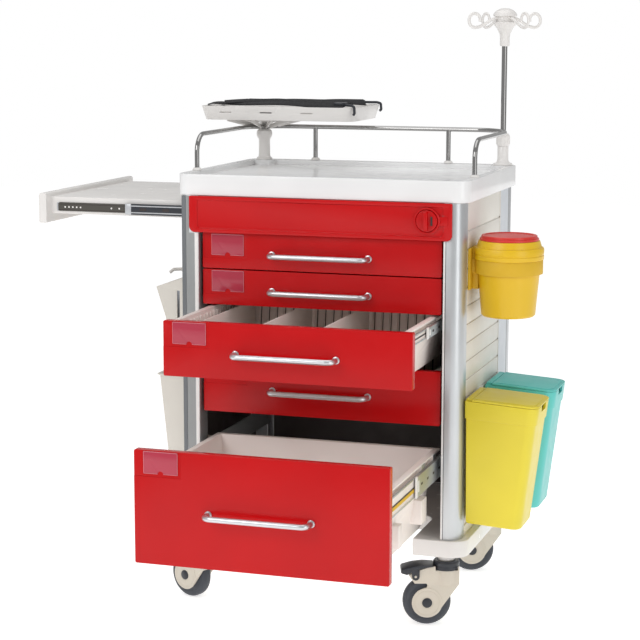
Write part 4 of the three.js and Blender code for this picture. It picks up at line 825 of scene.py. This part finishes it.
def deep_tray_details():
    """Stops on the outside of the deep tray's side walls and the tape on its slide."""
    low, high = box_of("drawer_tray_5")
    rim = high.z
    for side, tag in ((1, "r"), (-1, "l")):
        shapes = []
        for y, width, depth, z0, z1 in TRAY_STOPS:
            wall = TRAY_HALF - TRAY_LEAN * (rim - z1)
            xs = sorted((side * (wall - 16), side * (wall + depth / 2 + 4)))
            shapes.append(block(*xs, y, y + width, z0, z1, 2, 3))
        piece(f"tray_stops_{tag}", joined(*shapes), "tray", "drawer_5", 1, 2)
    start, stop = low.y + 34, low.y + 190
    strip = block(TAPE_X, TAPE_X + 0.7, start, stop, *TAPE_RANGE, 0.2, 1)
    piece("slide_tape", strip, "yellow_ring", "drawer_5")


def make_drawers():
    for number in range(1, 6):
        drawer_front(number)
        drawer_handle(number)
        drawer_tray(number)
    deep_tray_details()


# ------------------------------------------------------------------ side shelf
SHELF_MEMBER = 25.6  # y of the shelf's own slide member's face
SHELF_MEMBER_END = -598
SHELF_HOLE = 1.8
SHELF_HOLES = ((-578, 9, 5), (-470, 18, 3))  # first x, pitch and count of each group
SHELF_LINE = 6  # above and below the member's middle
SHELF_BAND = 7


def is_shelf_member(p):
    return p.y < 29.9 and 830 < p.z < 856 and p.x > -605


def make_shelf():
    dressed("shelf_board", "shelf", "white", 1.2, 3, zones=[(is_shelf_member, "member")])
    dressed("shelf_slide", "shelf_middle_slide", "black", 0.6)
    low, high = box_of("shelf_slide")
    z = (low.z + high.z) / 2
    face = SHELF_MEMBER
    end = SHELF_MEMBER_END
    clip = block(end, end + 7, face + 0.1, face + 5, z - 9, z + 9)
    piece("shelf_end_clip", clip, "silver", "side_shelf", 0.4)
    hole = [(0, face - 0.25), (SHELF_HOLE, face - 0.25), (SHELF_HOLE, face + 0.5),
            (0, face + 0.5)]
    holes = [turned(hole, (first + pitch * i, 0, z), "y", 16)
             for first, pitch, count in SHELF_HOLES for i in range(count)]
    piece("shelf_slide_holes", joined(*holes), "frosted", "side_shelf")
    lines = [block(end + 6, -250, face - 0.2, face + 0.5, z + s * SHELF_LINE - 0.7,
                   z + s * SHELF_LINE + 0.7, 0.2, 1) for s in (-1, 1)]
    piece("shelf_slide_lines", joined(*lines), "dark", "side_shelf")
    # painted shade: dark patches standing for the shade seen through the middle slide's slots
    slots = [block(x, x + 16, low.y - 0.2, low.y + 1, z - 3, z + 3, 0.5)
             for x in range(int(low.x) + 30, int(high.x) - 40, 52)]
    bands = [block(low.x + 6, high.x - 6, low.y - 0.15, low.y + 1, z + s * SHELF_BAND - 1.1,
                   z + s * SHELF_BAND + 1.1, 0.2, 1) for s in (-1, 1)]
    piece("shelf_middle_slot_shade", joined(*slots), "dark", "shelf_slide")
    piece("shelf_middle_bands", joined(*bands), "silver", "shelf_slide")
    clip = block(low.x - 2, low.x + 12, low.y - 0.4, low.y + 2, z - 11.5, z + 11.5)
    piece("shelf_middle_clip", clip, "silver", "shelf_slide", 0.4)


# ------------------------------------------------------------------ on the worktop
RAIL = {"x": 302, "front": 97, "back": 463, "foot": 923.3, "radius": 5, "post": 156}
RAIL_BENDS = (38, 95, 95, 38)


def make_rail():
    x, low = RAIL["x"], RAIL["foot"]
    front, back, radius = RAIL["front"], RAIL["back"], RAIL["radius"]
    z = box_of("guard_rail")[1].z - radius
    bar = pipe([(-x, front, low), (-x, front, z), (-x, back, z), (x, back, z), (x, front, z),
                (x, front, low)], radius, RAIL_BENDS, 20, 10)
    posts = [pipe([(s * RAIL["post"], back, low), (s * RAIL["post"], back, z)], radius, steps=20)
             for s in (-1, 1)]
    piece("rail", joined(bar, *posts), "chrome", "cart", replaces=("guard_rail",))
    for number, (fx, fy) in enumerate(((-x, front), (x, front), (-RAIL["post"], back),
                                       (RAIL["post"], back))):
        foot = turned([(radius - 0.5, low), (radius + 5, low), (radius + 5, low + 2),
                       (radius + 2.5, low + 5), (radius + 0.6, low + 6), (radius - 0.5, low + 6)],
                      (fx, fy, 0), "z", 28)
        piece(f"rail_foot_{number}", foot, "white", "cart")


def make_drip_stand():
    low, high = box_of("iv_pole")
    x, y = (low.x + high.x) / 2, (low.y + high.y) / 2
    radius = (high.x - low.x) / 2
    piece("pole", pipe([(x, y, low.z), (x, y, high.z)], radius, steps=28), "chrome", "iv_stand",
          replaces=("iv_pole",))
    low, high = box_of("iv_socket")
    bore = radius + 0.5
    z0, z1 = low.z, high.z
    socket = turned([(bore, z0), (21, z0), (21, z0 + 3), (19.5, z0 + 4.5), (15, z0 + 5.5),
                     (12.6, z0 + 10), (12, z0 + 16), (12, z1 - 1), (11.4, z1), (bore, z1)],
                    (x, y, 0), "z", 48)
    piece("pole_socket", socket, "frosted", "cart", replaces=("iv_socket",))
    low, high = box_of("iv_collar_nut")
    z0, z1 = low.z, high.z
    nut = turned([(bore, z0), (12.8, z0), (14, z0 + 2), (14.4, z0 + 7), (14.6, z1 - 7),
                  (13.6, z1 - 2.5), (11.5, z1), (bore, z1)], (x, y, 0), "z", 60)
    ribs = []
    for i in range(12):
        angle = 2 * math.pi * i / 12
        ribs.append(pipe([(x + 14 * math.cos(angle), y + 14 * math.sin(angle), z0 + 4),
                          (x + 14 * math.cos(angle), y + 14 * math.sin(angle), z1 - 5)], 1.5,
                         steps=8))
    piece("pole_nut", joined(nut, *ribs), "frosted", "iv_nut", replaces=("iv_collar_nut",))
    make_hook_head(x, y)


HOOK_STEPS = 34
HOOK = {"reach": 77, "curl": 16, "drop": 22, "up": 56, "hub": 14}


def make_hook_head(x, y):
    """A flared head with four flat S-shaped hooks."""
    z0 = box_of("iv_hook_head")[0].z
    mid = z0 + HOOK["up"]
    head = turned([(0, z0), (10, z0), (10.5, z0 + 1), (10.5, z0 + 20), (12, z0 + 27),
                   (17, z0 + 37), (24, z0 + 46), (26.5, z0 + 49), (27, z0 + 51.5),
                   (21, z0 + 52.5), (19.5, z0 + 56), (19.5, z0 + 63), (26, z0 + 65),
                   (26, z0 + 68), (23, z0 + 73), (17, z0 + 78), (9, z0 + 81), (0, z0 + 82)],
                  (x, y, 0), "z", 56)
    hooks = []
    for i in range(4):
        angle = math.radians(45 + 90 * i)
        path = []
        for k in range(9):
            t = k / 8
            drop = HOOK["drop"] * (0.5 - 0.5 * math.cos(math.pi * t))
            reach = HOOK["hub"] + t * (HOOK["reach"] - HOOK["hub"])
            path.append((reach, mid + HOOK["drop"] - HOOK["curl"] - drop))
        for k in range(1, HOOK_STEPS):
            t = k / (HOOK_STEPS - 1)
            turn = math.radians(-90 + 285 * t)
            curl = HOOK["curl"] - 3 * t
            path.append((HOOK["reach"] + curl * math.cos(turn), mid + curl * math.sin(turn)))
        line = [(x + r * math.cos(angle), y + r * math.sin(angle), z) for r, z in path]
        hooks.append(swept(line, circle(3.6, 12, 0.75),
                           up=(-math.sin(angle), math.cos(angle), 0)))
    piece("hook_head", joined(head, *hooks), "white", "iv_stand", replaces=("iv_hook_head",),
          crease=50)


STRAP_WIDTH = 25
STRAP_THICK = 2.4


def strap(points, rolls, width=STRAP_WIDTH, thick=STRAP_THICK):
    """A flat strap along a smooth line through points, rolling from one angle to another."""
    line = []
    points = [Vector(p) for p in points]
    for i in range(len(points) - 1):
        a = points[max(i - 1, 0)]
        b, c = points[i], points[i + 1]
        d = points[min(i + 2, len(points) - 1)]
        for k in range(8):
            t = k / 8
            line.append(0.5 * ((2 * b) + (c - a) * t + (2 * a - 5 * b + 4 * c - d) * t ** 2
                               + (3 * b - a - 3 * c + d) * t ** 3))
    line.append(points[-1])
    section = round_rect(-width / 2, width / 2, -thick / 2, thick / 2, thick * 0.45, 2)
    rings = []
    for i, point in enumerate(line):
        along = (line[min(i + 1, len(line) - 1)] - line[max(i - 1, 0)]).normalized()
        side = Vector((0, 0, 1)).cross(along)
        side.z = 0
        side.normalize()
        rise = along.cross(side)
        roll = math.radians(rolls[0] + (rolls[1] - rolls[0]) * i / (len(line) - 1))
        across = side * math.cos(roll) + rise * math.sin(roll)
        up = rise * math.cos(roll) - side * math.sin(roll)
        rings.append([point + across * u + up * v for u, v in section])
    return loft(rings)


def make_tray():
    low, high = box_of("defib_post")
    x, y = (low.x + high.x) / 2, (low.y + high.y) / 2
    z0, z1 = low.z, high.z
    post = turned([(7, z0), (18, z0), (18, z0 + 3), (16, z0 + 4.5), (13.6, z0 + 7), (13, z0 + 12),
                   (13, z1 - 24), (15, z1 - 20), (17.6, z1 - 15), (18, z1 - 10), (17, z1 - 4),
                   (13, z1), (7, z1)], (x, y, 0), "z", 48)
    piece("tray_post", post, "frosted", "cart", replaces=("defib_post",))
    dressed("defib_tray", "tray_platform", "white", 1.4, 3)
    low, high = box_of("defib_tray")
    rim = high.z
    x0, x1 = low.x, high.x
    middle = (low.y + high.y) / 2
    ribs = []
    for i in range(12):
        angle = 2 * math.pi * i / 12
        near = (x + 20 * math.cos(angle), y + 20 * math.sin(angle), rim - 50)
        far = (x + 86 * math.cos(angle), y + 86 * math.sin(angle), rim - 33)
        ribs.append(swept([near, far], round_rect(-1.2, 1.2, -4, 5, 0.5, 1)))
    piece("tray_ribs", joined(*ribs), "white", "defib_platform", 0.3)
    top = rim + 6
    runs = [
        ((4, 22), [(x0 + 3, middle - 46, rim + 2), (x0 + 22, middle - 48, top - 1),
                   (x0 + 90, middle - 66, top - 2), (x0 + 190, middle - 78, top + 1),
                   (x0 + 280, middle - 84, top - 3), (x1 - 34, low.y + 30, top - 1)]),
        ((4, 24), [(x0 + 3, middle + 38, rim + 2), (x0 + 24, middle + 36, top - 1),
                   (x0 + 110, middle + 20, top + 1), (x0 + 190, middle - 12, top + 4),
                   (x0 + 270, middle + 30, top + 1), (x1 - 34, high.y - 34, top - 1)]),
        ((12, 20), [(x0 + 52, middle - 70, top + 2), (x0 + 92, middle - 40, top + 4),
                    (x0 + 150, middle - 6, top + 3), (x0 + 220, middle - 20, top + 4),
                    (x0 + 290, middle - 44, top + 1), (x1 - 30, middle - 66, top - 1)]),
        ((-8, 30), [(x0 + 62, middle + 60, top + 2), (x0 + 130, middle + 30, top + 5),
                     (x0 + 210, middle + 6, top + 2), (x0 + 290, middle + 12, top + 3),
                     (x1 - 24, middle + 50, top)]),
        ((30, 10), [(x0 + 84, middle - 20, top + 1), (x0 + 170, middle - 52, top + 3),
                    (x0 + 250, middle - 60, top + 2), (x1 - 60, middle - 40, top + 1)]),
    ]
    for number, (rolls, run) in enumerate(runs):
        names = ("defib_straps",) if number == 0 else ()
        piece(f"strap_{number}", strap(run, rolls), "strap", "defib_platform", replaces=names)
    hooks = []
    for corner_y, inward in ((low.y, 1), (high.y, -1)):
        line = [(x1 - 46, corner_y + 42 * inward, top), (x1 - 9, corner_y + 9 * inward, rim + 4.5),
                (x1 - 2, corner_y + 2 * inward, rim + 2), (x1 - 1, corner_y + inward, rim - 12),
                (x1 - 4, corner_y + 4 * inward, rim - 15)]
        hooks.append(pipe(line, 3, (6, 4, 2), 12, 4))
    piece("strap_hooks", joined(*hooks), "black", "defib_platform")
    buckles = [block(bx - 13, bx + 13, by - 12.5, by + 12.5, top - 1.5, top + 4.5, 3, 3)
               for bx, by in ((x1 - 44, low.y + 38), (x1 - 44, high.y - 40))]
    piece("strap_buckles", joined(*buckles), "black", "defib_platform", 1)


# ------------------------------------------------------------------ hung on the sides
def make_sharps():
    dressed("sharps_bracket", "bucket_bracket", "yellow_ring", 0.8)
    low, high = box_of("sharps_bucket")
    x, y = (low.x + high.x) / 2, (low.y + high.y) / 2
    seat = high.z - 38
    z0, z1 = low.z, high.z
    bucket = turned([
        (0, z0 + 2), (47, z0 + 2), (49, z0), (52, z0 + 0.6), (55, z0 + 4), (64.6, seat - 3),
        (65, seat), (70, seat), (70.5, seat + 1), (70.5, seat + 8), (69.5, seat + 9),
        (69.5, seat + 11), (70.5, seat + 12), (70.5, seat + 21), (69, seat + 24),
        (66, seat + 24.6), (62.5, z1 - 2), (61.5, z1), (48, z1), (48, z1 - 2), (60, z1 - 2),
        (63, seat + 22), (63, seat), (53, z0 + 5), (0, z0 + 4.5)], (x, y, 0), "z", 72)
    piece("bucket", bucket, "yellow", "sharps_container", replaces=("sharps_bucket",))
    low, high = box_of("sharps_lid")
    z0, z1 = low.z, high.z
    lid = turned([(0, z0), (60, z0), (60, z0 + 3.5), (59, z0 + 4.6), (57, z0 + 5), (56.5, z1 - 1),
                  (55.3, z1), (51, z1), (50, z1 - 1.6), (0, z1 - 1.8)], (x, y, 0), "z", 72)
    piece("bucket_lid", lid, "red_lid", "sharps_cap", replaces=("sharps_lid",))
    blocks = [
        block(306.5, 320, y - 22, y - 6, 700, 783, 3, 3),
        block(306.5, 318, y + 8, y + 24, 704, 780, 3, 3),
    ]
    piece("bracket_clip", joined(*blocks), "yellow_ring", "cart", 1, 2)


BIN_TILT = 3.8
BIN_WALL = 306
BIN_TOP = 481
BIN = {"length": 151, "half": 69, "height": 262, "band": 41, "hinge": 15}


def bin_frame(y):
    """Takes a point in a bin's own frame (its top's wall edge) to cart millimetres."""
    turn = Matrix.Rotation(math.radians(BIN_TILT), 3, "Y")
    top = Vector((BIN_WALL, y, BIN_TOP))
    return lambda px, py, pz: tuple(turn @ Vector((px, py, pz)) + top)


def bin_ring(z, inset):
    """The bin's outline at a depth below its top."""
    t = -z / BIN["height"]
    lean = BIN["height"] * math.tan(math.radians(BIN_TILT))
    x0 = inset + t * lean
    x1 = BIN["length"] - inset - t * 14
    half = BIN["half"] - inset - 8 * t
    radii = [max(r - inset, 1.5) for r in (4, 24, 24, 4)]
    return [(u, v, z) for u, v in round_rect(x0, x1, -half, half, radii, 8)]


BINS = (("yellow", "lemon", 88), ("teal", "teal", 272))


def make_bins():
    for colour, look, y in BINS:
        place = bin_frame(y)
        depth = -BIN["height"]
        band = -BIN["band"]
        rings = [
            bin_ring(depth, 7), bin_ring(depth + 1.5, 4.6), bin_ring(depth + 5, 2.9),
            bin_ring(band - 2, 2.5), bin_ring(band, 2.1), bin_ring(band + 0.6, 0.3),
            bin_ring(band + 1.6, 0), bin_ring(-6, 0), bin_ring(-4.6, 0.4), bin_ring(-4.6, 5),
            bin_ring(depth + 6, 5.4), bin_ring(depth + 4, 8),
        ]
        notch = moved(block(BIN["length"] - 14, BIN["length"] + 5, -20, 20, -17, 4, 3), place)
        piece(f"{colour}_bin_shell", moved(loft(rings), place), look, f"{colour}_bin",
              replaces=(f"{colour}_bin",), cuts=(notch,))
        strip = block(2.5, BIN["hinge"] - 0.6, -63, 63, -6, 0, 1)
        piece(f"{colour}_bin_hinge", moved(strip, place), look, f"{colour}_bin", 0.6, 2)
        half = BIN["half"]
        flap = prism(round_rect(BIN["hinge"], BIN["length"], -half, half, [2, 24, 24, 2], 8),
                     "z", -4, 0)
        piece(f"{colour}_bin_cover", moved(flap, place), look, f"{colour}_bin_lid", 1.4, 3,
              replaces=(f"{colour}_bin_lid",))
        pad = loft([bin_pad(7, 0), bin_pad(7, 0.9), bin_pad(9, 1.5)])
        piece(f"{colour}_bin_pad", moved(pad, place), look, f"{colour}_bin_lid")


def bin_pad(inset, z):
    half = BIN["half"] - inset
    return [(u, v, z) for u, v in round_rect(BIN["hinge"] + inset, BIN["length"] - inset,
                                             -half, half, [2, 19, 19, 2], 8)]


BOTTLE = (-350, 150)


def make_baskets():
    dressed("left_basket", "slotted_basket", "basket", 0.8)
    dressed("left_box", "side_box", "basket", 0.8)
    x, y = BOTTLE
    profile = [(0, 579), (28, 579), (32, 582), (33, 588), (33, 640), (31.5, 649), (26, 658),
               (15, 663), (13, 666), (13, 672), (0, 672)]
    piece("bottle", turned(profile, (x, y, 0), "z", 48), "bottle", "cart")
    cap = turned([(0, 670), (15, 670), (15, 680), (13.5, 683), (6, 684), (5, 688), (5, 697),
                  (11, 698), (12, 704), (9, 708), (0, 709)], (x, y, 0), "z", 40)
    spout = pipe([(x, y, 703), (x - 24, y - 16, 703), (x - 31, y - 21, 696)], 3.6, (6,), 12)
    piece("bottle_pump", joined(cap, spout), "white", "cart")


# ------------------------------------------------------------------ casters
CASTERS = {
    "front_left": (-268, 35, -23), "front_right": (268, 35, 18),
    "rear_left": (-268, 440, -15), "rear_right": (268, 440, 18),
}
WHEEL = {"trail": 40, "radius": 50, "half": 13.5, "axle": 6.5}
FORK_HALF = 20.5


def caster_frame(x, y, turn):
    spin = Matrix.Rotation(math.radians(turn), 3, "Z")
    return lambda px, py, pz: tuple(spin @ Vector((px, py, pz)) + Vector((x, y, 0)))


def make_casters():
    for place, (x, y, turn) in CASTERS.items():
        at = caster_frame(x, y, turn)
        body = f"caster_{place}"
        seat = turned([(18, 118.5), (31, 118.5), (31, 145), (18, 145)], (0, 0, 0), "z", 56)
        dressed(f"caster_fork_{place}", f"fork_{place}", "beige", 1.6, 3,
                cuts=(moved(seat, at),))
        hub = (-WHEEL["trail"], 0, WHEEL["radius"])
        r, half, bore = WHEEL["radius"], WHEEL["half"], WHEEL["axle"]
        tyre = turned([(bore, -half), (34, -half), (36, -half + 1), (41, -half),
                       (45.5, -half + 1.5), (49, -half + 5.5), (r, -half + 9),
                       (r, half - 9), (49, half - 5.5),
                       (45.5, half - 1.5), (41, half), (36, half - 1), (34, half), (bore, half)],
                      hub, "y", 64)
        piece(f"wheel_{place}_tyre", moved(tyre, at), "tyre", f"wheel_{place}",
              replaces=(f"caster_wheel_{place}",))
        collar = turned([(20, 119), (26.6, 119), (27.4, 121), (27.6, 125), (26.8, 127.2),
                         (27.6, 129), (27.4, 134), (25, 137.2), (18, 137.6), (18, 127.6)],
                        (0, 0, 0), "z", 56)
        piece(f"collar_{place}", moved(collar, at), "black", body)
        for side, tag in ((-1, "n"), (1, "f")):
            f = FORK_HALF
            disc = [(0, f - 1), (31.4, f - 1), (31.6, f + 0.3), (30.8, f + 1), (26, f + 1.1),
                    (25.6, f + 0.6), (25.1, f + 1.2), (13, f + 1.4), (12.6, f + 0.9), (0, f + 0.9)]
            cap = [(0, f), (10.4, f), (10.4, f + 1.8), (9.4, f + 2.5), (0, f + 2.8)]
            cover = turned([(a, side * b) for a, b in disc], hub, "y", 64)
            piece(f"hub_{place}_{tag}", moved(cover, at), "beige", body)
            button = turned([(a, side * b) for a, b in cap], hub, "y", 40)
            piece(f"hub_cap_{place}_{tag}", moved(button, at), "black", body)
        if place.startswith("front"):
            dressed(f"brake_pedal_{place}", f"pedal_{place}", "black", 1.5, 3)


make_camera()
make_stage()
make_frame()
make_fascia()
make_drawers()
make_shelf()
make_rail()
make_drip_stand()
make_tray()
make_sharps()
make_bins()
make_baskets()
make_casters()
